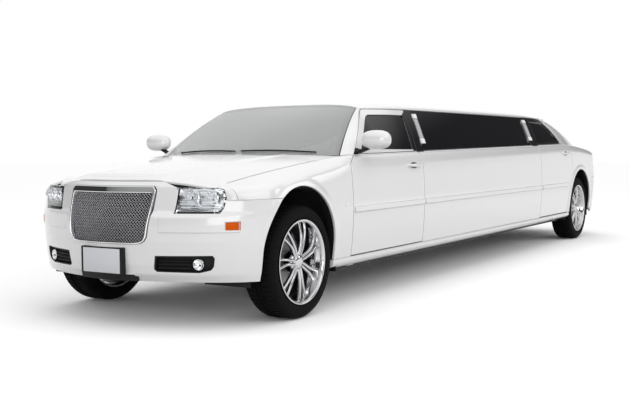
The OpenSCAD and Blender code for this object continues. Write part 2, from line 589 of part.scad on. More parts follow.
module front_bumper() {
  color("White") difference() {
    nose_sheet(NOSE_TH, concat([290, 330, 400, 540], [for (d = NOSE_DZ) nose_z + d]), 0, skin_t);
    both() arch_cut(fa + arch_lead, front_arch_z);
    // Fenders, headlamps, fog lamps, grille
    both() along_x(fa, front_x + 10) let (i = grille_top_w, o = half_w - 241, z = nose_z) polygon([
      [o, seam_z], [half_w + 50, seam_z], [half_w + 50, z + 140], [i + 28, z + 140], [i + 28, z + 31],
      [i + 88, z + 8], [i + 128, z - 9], [o, z - 16]]);
    both() along_x(fa + 300, front_x + 10) lamp_outline(-0.4);
    both() along_x(fa + 300, front_x + 10) fog_outline(-0.4);
    along_x(fa + 300, front_x + 10) grille_outline(6);
    both() along_x(fa + 300, front_x + 10) marker_outline(0.4);
    along_x(fa + 300, front_x + 10) polygon([[-230, 296], [230, 296], [210, 330], [-210, 330]]);
  }
}
module rear_bumper() {
  ths = [-90, -80, -70, -60, -50, -40, -30, -20, -10, 0, 10, 20, 30, 40, 50, 60, 70, 80, 90];
  color("White") difference() {
    tail_sheet(ths, [290, 330, 420, 560, 700, 725], 0, skin_t);
    both() arch_cut(ra, rear_arch_z);
  }
}
module windshield() {
  g = [for (s = span(-1, 1, 12)) [for (v = span(0, 1, 6)) shield_pt(s, v, 0)]];
  color("LightSlateGray") sheet(g, [for (s = span(-1, 1, 12)) [for (v = span(0, 1, 6)) shield_pt(s, v, glass_t)]]);
}
module rear_window() {
  g = [for (s = span(-1, 1, 12)) [for (v = span(0, 1, 6)) back_pt(s, v, 0)]];
  color("Black") sheet(g, [for (s = span(-1, 1, 12)) [for (v = span(0, 1, 6)) back_pt(s, v, glass_t)]]);
}
module front_door() {
  color("White") difference() {
    intersection() {
      side_sheet(concat([fd0 + 10], span(fa - 760, fd1 - 10, 6), [fd1 - 200]),
        concat(LOW, SHOULDER, WINDOW), door_z, door_t, frame_t, 0);
      along_y(y_in, y_out) front_door_outline();
    }
    along_y(y_in, y_out) front_window_outline(1);
    door_hinge_space(fd0);
  }
}
module rear_door() {
  color("White") difference() {
    intersection() {
      side_sheet(concat([rd0 + 10], span(rd0 - 100, ra + 320, 7)),
        concat(LOW, SHOULDER, WINDOW), door_z, door_t, frame_t, 0);
      along_y(y_in, y_out) rear_door_outline();
    }
    along_y(y_in, y_out) rear_window_outline(1);
    door_hinge_space(rd0);
  }
}
module door_front_left() { front_door(); }
module door_front_right() { mirror([0, 1, 0]) front_door(); }
module door_rear_left() { rear_door(); }
module door_rear_right() { mirror([0, 1, 0]) rear_door(); }
module side_glass(xs) {
  vs = [2, 2.15, 2.5, 2.8, 3];
  g = [for (x = xs) [for (v = vs) side_pt(x, v, door_z) - [0, 10, 0]]];
  sheet(g, [for (r = g) [for (p = r) p - [0, glass_t, 0]]]);
}
module window_front_left() {
  color("Black") intersection() {
    side_glass(span(fa - 700, fd1 - 200, 6));
    along_y(y_in, y_out) front_window_outline(0.9985);
  }
}
module window_front_right() { mirror([0, 1, 0]) window_front_left(); }
module window_rear_left() {
  color("Black") intersection() {
    side_glass(span(rd0, ra + 500, 6));
    along_y(y_in, y_out) rear_window_outline(0.9985);
  }
}
module window_rear_right() { mirror([0, 1, 0]) window_rear_left(); }
module mirror_left() {
  m = side_pt(fa - 780, 2, door_z);
  color("White") {
    block(fa - 850, fa - 780, m[1] + 1, m[1] + 90, m[2] + 2, m[2] + 52);
    translate([fa - 830, m[1] + 131, m[2] + 104]) scale([0.62, 1, 0.6]) sphere(r = 115, $fn = 24);
  }
}
module mirror_right() { mirror([0, 1, 0]) mirror_left(); }

grille_th = asin(pow((grille_top_w + 6) / half_w, nose_p / 2));
module grille_frame() {
  color("Silver") intersection() {
    nose_sheet(span(-grille_th, grille_th, 10), concat([500, 540], [for (d = NOSE_DZ) nose_z + d]), grille_out, 36);
    along_x(fa + 300, front_x + 40) difference() {
      grille_outline(6.5);
      polygon([[-grille_low_w + 30, 542], [grille_low_w - 30, 542], [grille_top_w - 36, nose_z - 36],
        [-grille_top_w + 36, nose_z - 36]]);
    }
  }
}
module grille_mesh() {
  p = mesh_pitch;
  h = nose_z - 573;
  n = ceil(2 * grille_top_w / p);
  lean = atan2(48, h);
  color("Gray") translate([nose_at(grille_low_w) - 34, 0, 540]) rotate([0, -lean, 0])
    along_x(-mesh_wire, 0) difference() {
      polygon([[-grille_low_w + 29, -2], [grille_low_w - 29, -2], [grille_top_w - 38, h], [-grille_top_w + 38, h]]);
      intersection() {
        polygon([[-grille_low_w + 40, 8], [grille_low_w - 40, 8], [grille_top_w - 48, h - 5],
          [-grille_top_w + 48, h - 5]]);
        for (i = [-n : n], j = [-1 : n]) if ((i + j) % 2 == 0)
          translate([i * p / 2, j * p / 2]) polygon([
            [-p / 2 + mesh_wire * 0.7, 0], [0, -p / 2 + mesh_wire * 0.7],
            [p / 2 - mesh_wire * 0.7, 0], [0, p / 2 - mesh_wire * 0.7]]);
      }
    }
}
module headlamps() {
  color("Gainsboro") both() intersection() {
    nose_sheet(span(24, 66, 9), [for (d = [-172, -147, -102, -62, -32, 0]) nose_z + d], -2, 26);
    along_x(fa + 300, front_x + 10) lamp_outline(0);
  }
}
module fog_lamps() {
  color("Black") both() intersection() {
    nose_sheet(span(20, 66, 9), [330, 400, 440, 480], -14, 30);
    along_x(fa + 300, front_x + 10) fog_outline(0);
  }
}
module marker_lamps() {
  color("Orange") both() intersection() {
    nose_sheet(span(52, 76, 4), [for (d = [-290, -262, -232, -202, -172]) nose_z + d], -1, 26);
    along_x(fa + 300, front_x + 10) marker_outline(0);
  }
}
module tail_lamps() {
  color("Red") both()
    tail_sheet(span(49, 65, 5), [725.4, 800, 900, 985], 0, skin_t + 16);
}
module number_plate() {
  x = nose_at(0) - lookup(490, NOSE_LEAN) + 0.3;
  color("Gainsboro") block(x, x + 11, -152, 152, 338, 490);
}
module opera_lamps() {
  color("Gainsboro") both() for (a = [[fd1 - 150, b_lean], [rd0 + c_w + 44, c_lean]])
    lean_piece(a[0], a[1]);
}
module lean_piece(x, lean) {
  g = [for (dx = [0, -34]) [for (v = [0.25, 0.5, 0.85])
    side_pt(x + dx - lean * v, 2 + v, door_z) + [0, 12, 0]]];
  sheet(g, [for (r = g) [for (p = r) p - [0, 19.2, 0]]]);
}

module dashboard() {
  x = fa - well_r - 64;
  z = belt_z - 104;
  color("DimGray") along_y(100 - floor_w, floor_w - 100) polygon([[x, z - 290], [x, z + 20], [x - 60, z + 48],
    [x - 260, z + 38], [x - 330, z], [x - 330, z - 170], [x - 220, z - 290]]);
}
module steering_wheel() {
  color("Black") translate([fa - 940, half_w - 571, belt_z - 129]) rotate([0, -68, 0]) {
    rotate_extrude() translate([180, 0]) circle(r = 14, $fn = 24);
    for (a = [0, 120, 240]) rotate([0, 0, a + 30]) translate([0, -16, -7]) cube([180, 32, 14]);
    cylinder(r = 62, h = 34, center = true);
    translate([0, 0, -112]) cylinder(r = 26, h = 108);
  }
}
module seat(x, y0, y1) {
  t = body_h - 310;
  along_y(y0, y1) polygon([[x + 300, 300], [x + 320, 480], [x + 280, 540], [x - 150, 510], [x - 330, t - 180],
    [x - 310, t - 20], [x - 390, t], [x - 420, t - 160], [x - 310, 500], [x - 300, 300]]);
}
module seats() {
  color("DarkSlateGray") {
    both() seat(fa - 1340, 130, half_w - 301);
    r = ra + 680;
    t = body_h - 310;
    w = floor_w - 210;
    along_y(-w, w) polygon([[r + 300, 420.3], [r + 320, 480], [r + 280, 540], [r - 150, 510], [r - 330, t - 180],
      [r - 310, t - 20], [r - 390, t], [r - 420, t - 160], [r - 330, 480.3], [ra + well_r + 26, 480.3],
      [ra + well_r + 26, 420.3]]);
    // Side bench along the right of the stretched cabin
    b = 70 - floor_w;
    along_x(ra + 1150, fa - 2100) polygon([[b, 300], [b + 430, 300], [b + 450, 470], [b + 130, 490],
      [b + 70, belt_z - 74], [b, belt_z - 74]]);
  }
}
module engine() {
  color("Gray") {
    block(fa - 400, fa + 260, -330, 330, 300.3, 840);
    translate([fa - 399, 0, 312]) rotate([0, -90, 0]) cylinder(r = 76, h = 500);
  }
}
module exhaust() {
  color("Silver") both() {
    translate([ra - 500, 330, 207.7]) rotate([0, 90, 0]) cylinder(r = 32, h = fa - ra - 300);
    block(rear_x + 420, ra - 480, 290, 620, 170, 300);
    translate([rear_x + 120, 470, 246]) rotate([0, 90, 0]) cylinder(r = 38, h = 310);
  }
}
module front_subframe() {
  color("DimGray") {
    both() {
      block(fa - well_r - 24, fa + 640, 395, 465, 470, 560);
      block(fa - 60, fa + 60, 395, 465, 200, 480);
      block(fa - 32, fa + 32, 460, king_y, 200, 232);
      block(fa - 32, fa + 32, 460, king_y, 506, 536);
      rod_z(fa, king_y, 32, 200, 232);
      rod_z(fa, king_y, 32, 506, 536);
      rod_z(fa, king_y, 14, 230, 300);
      rod_z(fa, king_y, 14, 440, 510);
    }
    block(fa - 60, fa + 60, -400, 400, 200, 300);
    block(fa + 640, fa + 700, -466, 466, 470, 560);
  }
}
module rear_subframe() {
  color("DimGray") {
    block(ra - 60, ra + 60, -560, 560, 270, 310);
    translate([ra, 0, 330]) rotate([0, 90, 0]) cylinder(r = 90, h = 300, center = true);
    both() {
      rod_y(ra, tyre_r, 30, 80, 690);
      block(ra - 70, ra + 70, 690, 720, tyre_r - 120, tyre_r + 120);
      rod_y(ra, tyre_r, spindle_r, 715, 868);
      block(ra - 40, ra + 40, 550, 700, 270, 310);
      block(ra - 60, ra + 60, floor_w - 330, floor_w - 240, 300, 439.8);
    }
  }
}
module knuckle_left() {
  color("Gray") difference() {
    union() {
      rod_z(fa, king_y, 28, 238, 500);
      rod_y(fa, tyre_r, spindle_r, king_y, 868);
      block(fa - 200, fa, king_y - 14, king_y + 14, tyre_r - 40, tyre_r + 40);
    }
    rod_z(fa, king_y, 14 + run_c, 230, 306);
    rod_z(fa, king_y, 14 + run_c, 434, 510);
  }
}
module knuckle_right() { mirror([0, 1, 0]) knuckle_left(); }

// Wheel about the y axis, outer side at +y.
module wheel() {
  h = rim_w / 2;
  r = rim_r;
  color("Silver") rotate([-90, 0, 0]) {
    rotate_extrude($fn = 96) polygon([[r, h], [r, h - 9], [r - 14, h - 16], [r - 16, h - 52], [r - 36, h - 80],
      [r - 36, -20], [r - 16, 46 - h], [r - 14, 16 - h], [r, 9 - h], [r, -h], [r - 12, -h],
      [r - 26, 24 - h], [r - 46, -20], [r - 46, h - 84], [r - 27, h - 50], [r - 20, h - 4]]);
    difference() {
      union() {
        translate([0, 0, -20]) cylinder(r = 72, h = h);
        for (i = [0 : spoke_pairs - 1], k = [-1, 1]) rotate([0, 0, 360 * i / spoke_pairs])
          translate([0, 0, h - 42]) linear_extrude(30) polygon([
            [50, k * 12 + 9], [50, k * 12 - 9], [140, k * 20 - 9], [r - 24, k * 40 - 10], [r - 24, k * 40 + 10],
            [140, k * 20 + 9]]);
      }
      translate([0, 0, -40]) cylinder(r = spindle_r + run_c, h = h + 40 - 25);
    }
  }
  // Brake disc
  color("Gray") rotate([-90, 0, 0]) difference() {
    translate([0, 0, -48]) cylinder(r = 172, h = 27.7);
    translate([0, 0, -60]) cylinder(r = spindle_r + 4, h = 60);
  }
}
module tyre() {
  h = tyre_w / 2;
  r0 = rim_r - 13.7;
  f = rim_w / 2 - 16.3;
  color("Black") rotate([-90, 0, 0]) rotate_extrude($fn = 96) polygon(concat(
    [[r0, -f], [rim_r + 2, -f]], [[rim_r + 16, -h + 6], [lerp(rim_r, tyre_r, 0.5), -h],
      [tyre_r - 30, -h + 6], [tyre_r - 10, -h + 16], [tyre_r - 2, -h + 34], [tyre_r, -h + 56], [tyre_r, h - 56],
      [tyre_r - 2, h - 34], [tyre_r - 10, h - 16], [tyre_r - 30, h - 6], [lerp(rim_r, tyre_r, 0.5), h],
      [rim_r + 16, h - 6], [rim_r + 2, f], [r0, f], [r0, f - 16], [rim_r + 14, f - 2], [tyre_r - 26, h - 22],
      [tyre_r - 16, h - 50], [tyre_r - 16, 50 - h], [tyre_r - 26, 22 - h], [rim_r + 14, 2 - f], [r0, 16 - f]]));
}
module at_left(x) { translate([x, track / 2, tyre_r]) children(); }
module at_right(x) { translate([x, -track / 2, tyre_r]) mirror([0, 1, 0]) children(); }
module wheel_front_left() { at_left(fa) wheel(); }
module wheel_front_right() { at_right(fa) wheel(); }
module wheel_rear_left() { at_left(ra) wheel(); }
module wheel_rear_right() { at_right(ra) wheel(); }
module tyre_front_left() { at_left(fa) tyre(); }
module tyre_front_right() { at_right(fa) tyre(); }
module tyre_rear_left() { at_left(ra) tyre(); }
module tyre_rear_right() { at_right(ra) tyre(); }

floor_pan();
bulkheads();
hinge_posts();
rocker_panels();
wheel_liners();
front_fenders();
stretch_sides();
quarter_panels();
roof();
pillars();
pillar_covers();
hood();
boot_lid();
front_bumper();
rear_bumper();
windshield();
rear_window();
stretch_windows();
door_front_left();
door_front_right();
door_rear_left();
door_rear_right();
window_front_left();
window_front_right();
window_rear_left();
window_rear_right();
mirror_left();
mirror_right();
grille_frame();
grille_mesh();
headlamps();
fog_lamps();
marker_lamps();
tail_lamps();
number_plate();
opera_lamps();
dashboard();
steering_wheel();
seats();
engine();
exhaust();
front_subframe();
rear_subframe();
knuckle_left();
knuckle_right();
wheel_front_left();
wheel_front_right();
wheel_rear_left();
wheel_rear_right();
tyre_front_left();
tyre_front_right();
tyre_rear_left();
tyre_rear_right();
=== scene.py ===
"""Panels, glass, wheels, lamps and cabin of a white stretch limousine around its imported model."""

import math

import bpy
import numpy as np
from mathutils import Matrix, Vector, geometry


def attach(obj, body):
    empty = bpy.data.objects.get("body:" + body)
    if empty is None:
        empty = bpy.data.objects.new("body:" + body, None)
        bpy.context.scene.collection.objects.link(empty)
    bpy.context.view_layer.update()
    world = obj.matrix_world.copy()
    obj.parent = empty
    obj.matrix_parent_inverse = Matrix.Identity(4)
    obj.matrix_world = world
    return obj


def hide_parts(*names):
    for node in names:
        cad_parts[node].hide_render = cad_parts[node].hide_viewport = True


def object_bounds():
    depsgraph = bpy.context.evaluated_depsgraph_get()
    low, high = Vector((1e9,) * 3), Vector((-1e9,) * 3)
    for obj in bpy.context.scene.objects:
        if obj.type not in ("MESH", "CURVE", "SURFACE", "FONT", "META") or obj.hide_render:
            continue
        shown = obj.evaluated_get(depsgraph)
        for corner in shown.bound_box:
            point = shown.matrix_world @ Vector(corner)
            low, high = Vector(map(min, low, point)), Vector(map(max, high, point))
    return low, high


bl_info = {
    "name": "Stretch limousine",
    "version": (1, 0, 0),
    "blender": (4, 5, 0),
    "location": "View3D > Sidebar > Limousine",
    "description": "Builds the visible pieces of a stretch limousine around its packed model",
    "category": "Object",
}

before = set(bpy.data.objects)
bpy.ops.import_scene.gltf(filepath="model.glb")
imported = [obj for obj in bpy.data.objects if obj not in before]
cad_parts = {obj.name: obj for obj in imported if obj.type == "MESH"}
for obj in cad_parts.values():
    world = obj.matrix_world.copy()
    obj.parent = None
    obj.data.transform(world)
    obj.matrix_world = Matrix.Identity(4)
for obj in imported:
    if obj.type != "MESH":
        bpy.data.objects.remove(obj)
CAD_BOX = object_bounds()
MM = 0.001

# Lines of the body in millimetres, as in the part's source.
FRONT, REAR = CAD_BOX[1].x / MM, CAD_BOX[0].x / MM
F_AXLE, R_AXLE = FRONT - 860, REAR + 1090
HALF_W, ROOF_Z, WAIST_Z, DOOR_Z = 941.0, 1490.0, 690.0, 345.0
BELT_Z = WAIST_Z + (ROOF_Z - WAIST_Z) * 0.43
BELT_RISE, SHOULDER_H, LOW_BOW, HIGH_BOW = 74.0, 92.0, 24.0, 14.0
NOSE_Z = WAIST_Z + 172
SEAM_Z = NOSE_Z - 79
NOSE_DEPTH, NOSE_P, NOSE_Q = 555.0, 1.4, 2.3
TAIL_DEPTH, TAIL_P, TAIL_Q = 600.0, 2.0, 2.4
GRILLE_OUT, GRILLE_TOP_W, GRILLE_LOW_W = 10.0, 352.0, 296.0
NOSE_X0, TAIL_X0 = FRONT - GRILLE_OUT - NOSE_DEPTH, REAR + TAIL_DEPTH
GAP, DOOR_T, FRAME_T = 7.0, 80.0, 42.0
SKIN_T, BUMPER_T, LID_T, GLASS_T = 14.0, 16.0, 16.0, 5.0
ARCH_R, WELL_R, TRACK = 400.0, 432.0, 1600.0
TYRE_R, TYRE_W, RIM_R, RIM_W = 364.0, 234.0, 270.0, 226.0
FRONT_ARCH, REAR_ARCH = (F_AXLE + 32, 450.0), (R_AXLE, 422.0)
F_DOOR_X0, F_DOOR_X1, R_DOOR_X0 = F_AXLE - 606, F_AXLE - 1762, R_AXLE + 1440
COWL_W, BACK_W, BOOT_W = HALF_W - 156, HALF_W - 236, HALF_W - 157
B_W, B_LEAN, C_W, C_LEAN = 128.0, 135.0, 150.0, 190.0
Z_BASE = 300.0
LOW_Z, TAIL_SEAM_Z = DOOR_Z - GAP + 0.5, 725.0
FENDER_X, A_FOOT_X, D_FOOT_X = F_AXLE + 549, F_AXLE - 740, R_AXLE + 580
NOSE_W, LAMP_IN, LAMP_OUT = HALF_W - 263, GRILLE_TOP_W + 116, HALF_W - 193
ROOF_X0, ROOF_X1, BACK_X = F_AXLE - 1285, R_AXLE + 450, R_AXLE - 235
POST_S, SHIELD_EDGE, BACK_EDGE, GLASS_TOP = 0.983, 1.008, 1.001, 0.965

# Sizes of the flat layouts of curved skins: across, then along.
HOOD_U, HOOD_V = 700.0, 1000.0
BOOT_U, BOOT_DECK, BOOT_BEND, BOOT_FACE = 700.0, 700.0, 640.0, 330.0
ROOF_U, ROOF_V, PANE_U, PANE_V = 800.0, 5000.0, 800.0, 600.0

SEAM = [
    (F_AXLE + 590, NOSE_W, NOSE_Z),
    (F_AXLE + 300, HALF_W - 199, NOSE_Z + (BELT_Z - NOSE_Z) * 0.33),
    (F_AXLE, HALF_W - 177, NOSE_Z + (BELT_Z - NOSE_Z) * 0.57),
    (F_AXLE - 350, HALF_W - 155, NOSE_Z + (BELT_Z - NOSE_Z) * 0.82),
    (F_AXLE - 606, HALF_W - 84, BELT_Z - 2),
    (F_AXLE - 1200, HALF_W - 66, BELT_Z + 10),
    (R_AXLE + 900, HALF_W - 62, BELT_Z + BELT_RISE),
    (R_AXLE + 350, HALF_W - 70, BELT_Z + BELT_RISE + 4),
    (R_AXLE - 150, HALF_W - 150, BELT_Z + BELT_RISE - 8),
    (R_AXLE - 600, HALF_W - 189, BELT_Z + BELT_RISE - 46),
    (R_AXLE - 1000, HALF_W - 250, BELT_Z + BELT_RISE - 100),
]
RAIL = [
    (F_AXLE - 1200, HALF_W - 301, ROOF_Z - 104),
    (F_AXLE - 1700, HALF_W - 257, ROOF_Z - 94),
    (R_AXLE + 1200, HALF_W - 251, ROOF_Z - 84),
    (R_AXLE + 430, HALF_W - 313, ROOF_Z - 90),
]
ROOF = [
    (ROOF_X0, ROOF_Z - 60),
    (F_AXLE - 1700, ROOF_Z - 21),
    (F_AXLE - 2300, ROOF_Z - 2),
    (F_AXLE - 2900, ROOF_Z),
    (R_AXLE + 1700, ROOF_Z),
    (R_AXLE + 1000, ROOF_Z - 14),
    (ROOF_X1, ROOF_Z - 54),
]
HOOD = [
    (F_AXLE + 770, 43), (F_AXLE + 600, 78), (F_AXLE + 300, 62), (F_AXLE, 51),
    (F_AXLE - 300, 43), (F_AXLE - 500, 37),
]
DECK = [(R_AXLE - 200, 24), (R_AXLE - 600, 40), (R_AXLE - 1000, 70)]
NOSE_LEAN = [
    (285, 60), (330, 26), (400, 12), (540, 0), (NOSE_Z - 232, 0), (NOSE_Z - 172, 10),
    (NOSE_Z - 147, 34), (NOSE_Z, 66), (NOSE_Z + 38, 92),
]
TAIL_LEAN = [
    (285, 60), (330, 22), (420, 6), (560, 0), (700, 0), (TAIL_SEAM_Z, 20), (900, 32), (1010, 50),
    (1080, 80),
]


def lerp(a, b, t):
    return a + (b - a) * t


def clamp(v, lo, hi):
    return max(lo, min(hi, v))


def smooth(a, b, x):
    t = clamp((x - a) / (b - a), 0.0, 1.0)
    return t * t * (3 - 2 * t)


def bez(a, b, c, t):
    return a * (1 - t) * (1 - t) + b * 2 * t * (1 - t) + c * t * t


def value_at(table, z):
    return float(np.interp(z, [r[0] for r in table], [r[1] for r in table]))


def through(table, x, c):
    """Smooth value of column c at x of a table whose first column falls."""
    i = 0
    while i < len(table) - 2 and x < table[i + 1][0]:
        i += 1

    def slope(k):
        a, b = table[max(k - 1, 0)], table[min(k + 1, len(table) - 1)]
        return (b[c] - a[c]) / (b[0] - a[0])

    p, q = table[i], table[i + 1]
    h = q[0] - p[0]
    s = clamp((x - p[0]) / h, 0.0, 1.0)
    return (
        p[c] * (1 + 2 * s) * (1 - s) ** 2 + slope(i) * h * s * (1 - s) ** 2
        + q[c] * s * s * (3 - 2 * s) + slope(i + 1) * h * s * s * (s - 1)
    )


def plan_y(x):
    """Half width of the body at x, in plan."""
    if x > NOSE_X0:
        return HALF_W * max(0.0, 1 - ((x - NOSE_X0) / NOSE_DEPTH) ** NOSE_Q) ** (1 / NOSE_P)
    if x < TAIL_X0:
        return HALF_W * max(0.0, 1 - ((TAIL_X0 - x) / TAIL_DEPTH) ** TAIL_Q) ** (1 / TAIL_P)
    return HALF_W


def nose_at(y):
    """Foremost x of the nose at y."""
    return NOSE_X0 + NOSE_DEPTH * max(0.0, 1 - (abs(y) / HALF_W) ** NOSE_P) ** (1 / NOSE_Q)


def tail_at(y):
    """Rearmost x of the tail at y."""
    return TAIL_X0 - TAIL_DEPTH * max(0.0, 1 - (abs(y) / HALF_W) ** TAIL_P) ** (1 / TAIL_Q)


def crease_z(x):
    return through(SEAM, x, 2) - SHOULDER_H


def bow(x, z):
    """How far the side falls in below and above the waist."""
    if z < WAIST_Z:
        return LOW_BOW * ((WAIST_Z - z) / (WAIST_Z - DOOR_Z)) ** 2
    return HIGH_BOW * ((z - WAIST_Z) / (crease_z(x) - WAIST_Z)) ** 2


def flare(x, z):
    """Stand of the raised lips round the wheel arches."""
    props = bpy.context.scene.limo_sizes
    out = 0.0
    for cx, cz in (FRONT_ARCH, REAR_ARCH):
        d = (math.hypot(x - cx, z - cz) if z > cz else abs(x - cx)) - ARCH_R
        if -60 < d < 70:
            out = max(out, props.arch_lip / MM * (1 - smooth(22, 64, d)))
    return out


# A side is laid out flat as (x, s): s runs up to the crease, over the shoulder and up the window.
S_CREASE, S_BELT, S_RAIL = 600.0, 730.0, 1100.0


def side_s(x, z):
    """Flat layout of the side at a height z."""
    cz, sz = crease_z(x), through(SEAM, x, 2)
    if z <= cz:
        return S_CREASE * (z - Z_BASE) / (cz - Z_BASE)
    if z <= sz:
        a, b, c = cz - 2 * (sz - 10) + sz, 2 * (sz - 10 - cz), cz - z
        t = -c / b if abs(a) < 1e-6 else (-b + math.sqrt(max(0.0, b * b - 4 * a * c))) / (2 * a)
        return lerp(S_CREASE, S_BELT, clamp(t, 0, 1))
    return lerp(S_BELT, S_RAIL, (z - sz) / (through(RAIL, x, 2) - sz))


def side_pt(x, v):
    """Point of the left side: v 1 to 2 over the shoulder, 2 to 3 up the window."""
    return side_surf(x, float(np.interp(v, range(4), (0, S_CREASE, S_BELT, S_RAIL))))


def side_surf(x, s):
    """Point of the left side from its flat layout."""
    cz, sy, sz = crease_z(x), through(SEAM, x, 1), through(SEAM, x, 2)
    cy = plan_y(x) - bow(x, cz)
    if s <= S_CREASE:
        z = lerp(Z_BASE, cz, s / S_CREASE)
        return Vector((x, plan_y(x) - bow(x, z) + flare(x, z), z))
    if s <= S_BELT:
        t = (s - S_CREASE) / (S_BELT - S_CREASE)
        z = bez(cz, sz - 10, sz, t)
        return Vector((x, bez(cy, cy - 8, sy, t) + flare(x, z) * (1 - t), z))
    t = (s - S_BELT) / (S_RAIL - S_BELT)
    return Vector((x, lerp(sy, through(RAIL, x, 1), t) + 26 * t * (1 - t), lerp(sz, through(RAIL, x, 2), t)))


def roof_front(w):
    return ROOF_X0 + 65 * w * w


def roof_rear(w):
    return ROOF_X1 - 22 * w * w


def roof_pt(x, w):
    """Point of the roof: w across, from -1 to 1."""
    ry, rz = through(RAIL, x, 1), through(RAIL, x, 2)
    return Vector((x, w * ry, rz + (through(ROOF, x, 1) - rz) * max(0.0, 1 - abs(w) ** 3) ** (1 / 1.5)))


def crown_z(table, x, y):
    """Height of a skin that is crowned between the seams."""
    share = min(1.0, abs(y) / through(SEAM, x, 1)) ** 2.4
    return through(SEAM, x, 2) + through(table, x, 1) * (1 - share)


def hood_z(x, y):
    """Height of the hood, with its raised middle between two soft creases."""
    edge = lerp(330, 470, clamp((F_AXLE + 760 - x) / 1200, 0, 1))
    rise = bpy.context.scene.limo_sizes.hood_rise / MM * (1 - smooth(edge - 16, edge + 34, abs(y)))
    return crown_z(HOOD, x, y) + rise * smooth(F_AXLE - 520, F_AXLE - 250, x)


def deck_z(x, y):
    return crown_z(DECK, x, y)


def round_end(th, z, x0, depth, p, q, lean, sign):
    """Point of a rounded end of the body, th degrees from its middle."""
    c, s = math.cos(math.radians(th)), math.sin(math.radians(th))
    x = x0 + sign * (depth * max(c, 0.0) ** (2 / q) - value_at(lean, z) * c)
    return Vector((x, math.copysign((HALF_W - bow(x0, z)) * abs(s) ** (2 / p), th), z))


def nose_pt(th, z):
    p = round_end(th, z, NOSE_X0, NOSE_DEPTH, NOSE_P, NOSE_Q, NOSE_LEAN, 1)
    p.y += math.copysign(flare(p.x, z), p.y)
    return p


def tail_pt(th, z):
    p = round_end(th, z, TAIL_X0, TAIL_DEPTH, TAIL_P, TAIL_Q, TAIL_LEAN, -1)
    p.y += math.copysign(flare(p.x, z), p.y)
    return p


# The nose and the tail are laid out flat as (turn, z), with the turn in millimetres.
TURN, WING = 12.0, 88.0


def nose_surf(a, z):
    """Nose; past its end the surface runs on straight back to the wheel arch."""
    over = abs(a) - WING * TURN
    if over <= 0:
        return nose_pt(a / TURN, z)
    x = nose_pt(WING, z).x - over
    return Vector((x, math.copysign(plan_y(x) - bow(NOSE_X0, z) + flare(x, z), a), z))


def tail_surf(a, z):
    return tail_pt(a / TURN, z)


def turn_of_nose(y, z):
    share = clamp(abs(y) / (HALF_W - bow(NOSE_X0, z)), 0, 1)
    return math.copysign(TURN * math.degrees(math.asin(share ** (NOSE_P / 2))), y)


def turn_of_x(x, z):
    lo, hi = 20.0, 89.9
    for _ in range(40):
        mid = (lo + hi) / 2
        if nose_pt(mid, z).x > x:
            lo = mid
        else:
            hi = mid
    return TURN * lo


def wing_turn(x, z):
    """Flat layout of the nose at a place (x, z) of its left wing."""
    end = nose_pt(WING, z).x
    return turn_of_x(x, z) if x > end else WING * TURN + end - x


def on_nose(points):
    """Points (y, z) of a front view, laid out on the nose."""
    return [(turn_of_nose(y, z), z) for y, z in points]


def nose_spot(y, z):
    return nose_surf(turn_of_nose(y, z), z)


def shield_pt(s, v):
    """Windshield: s across, v from the base to the roof."""
    b = Vector((F_AXLE - 470 - 205 * s * s, COWL_W * s, BELT_Z + 20 - 20 * s * s))
    r = roof_pt(roof_front(GLASS_TOP * s), GLASS_TOP * s) + Vector((3, 0, -4))
    k = 4 * v * (1 - v)
    return b.lerp(r, v) + Vector((10 * k, 0, 22 * k))


def back_pt(s, v):
    """Rear window: s across, v from the base to the roof."""
    b = Vector((BACK_X + 60 * s * s, BACK_W * s, BELT_Z + BELT_RISE + 12 - 14 * s * s))
    r = roof_pt(roof_rear(GLASS_TOP * s), GLASS_TOP * s) + Vector((-3, 0, -4))
    k = 4 * v * (1 - v)
    return b.lerp(r, v) + Vector((-8 * k, 0, 20 * k))


def a_edge(t):
    """Rear edge of the windshield pillar, t up the pillar."""
    return side_pt(lerp(A_FOOT_X, F_AXLE - 1245, t), 2 + t)


def d_bez(t):
    return bez(D_FOOT_X, R_AXLE + 490, R_AXLE + 900, t), bez(0, 1, 1, t)


def d_edge(t):
    """Front edge of the rear pillar, t up the pillar."""
    x, v = d_bez(t)
    return side_pt(x, 2 + v)


def d_foot(u):
    """Foot of the rear pillar, u from the door to the rear window."""
    x = lerp(D_FOOT_X, R_AXLE - 178, min(1.0, u / 0.8))
    at = Vector((x, through(SEAM, x, 1) - 0.9, through(SEAM, x, 2) + 1.2))
    return at.lerp(back_pt(BACK_EDGE, 0), max(0.0, (u - 0.8) / 0.2))


def hood_front(s):
    return nose_at(abs(s) * NOSE_W) - lerp(130, 104, min(1.0, abs(s) / 0.75))


def hood_rear(s):
    return F_AXLE - 415 - 150 * s * s


def hood_surf(a, b):
    s, u = a / HOOD_U, b / HOOD_V
    x = lerp(hood_front(s), hood_rear(s), u)
    y = s * (through(SEAM, x, 1) - GAP)
    return Vector((x, y, hood_z(x, y) - 24 * (1 - smooth(0, 0.055, u))))


def boot_front(s):
    return R_AXLE - 265 + 75 * s * s


def boot_surf(a, b):
    """Boot lid laid out flat: b runs along the deck, then down the rear face."""
    s = a / BOOT_U
    w1, w2 = HALF_W - 256, HALF_W - 306
    e = tail_at(s * w1) + 66
    t = min(b / BOOT_DECK, 1.0)
    x = lerp(boot_front(s), e, t)
    y = s * lerp(through(SEAM, x, 1) - GAP, w1, t ** 3)
    top = Vector((x, y, deck_z(x, y)))
    if b <= BOOT_BEND:
        return top
    q = clamp((b - BOOT_DECK) / BOOT_FACE, 0, 1)
    ze = deck_z(e, s * w1)
    z2, y2 = lerp(ze, 735, q), s * lerp(w1, w2, q)
    face = Vector((tail_at(y2) + value_at(TAIL_LEAN, z2) - 4, y2, z2))
    return top.lerp(face, smooth(BOOT_BEND, BOOT_BEND + 140, b))


# Mesh making

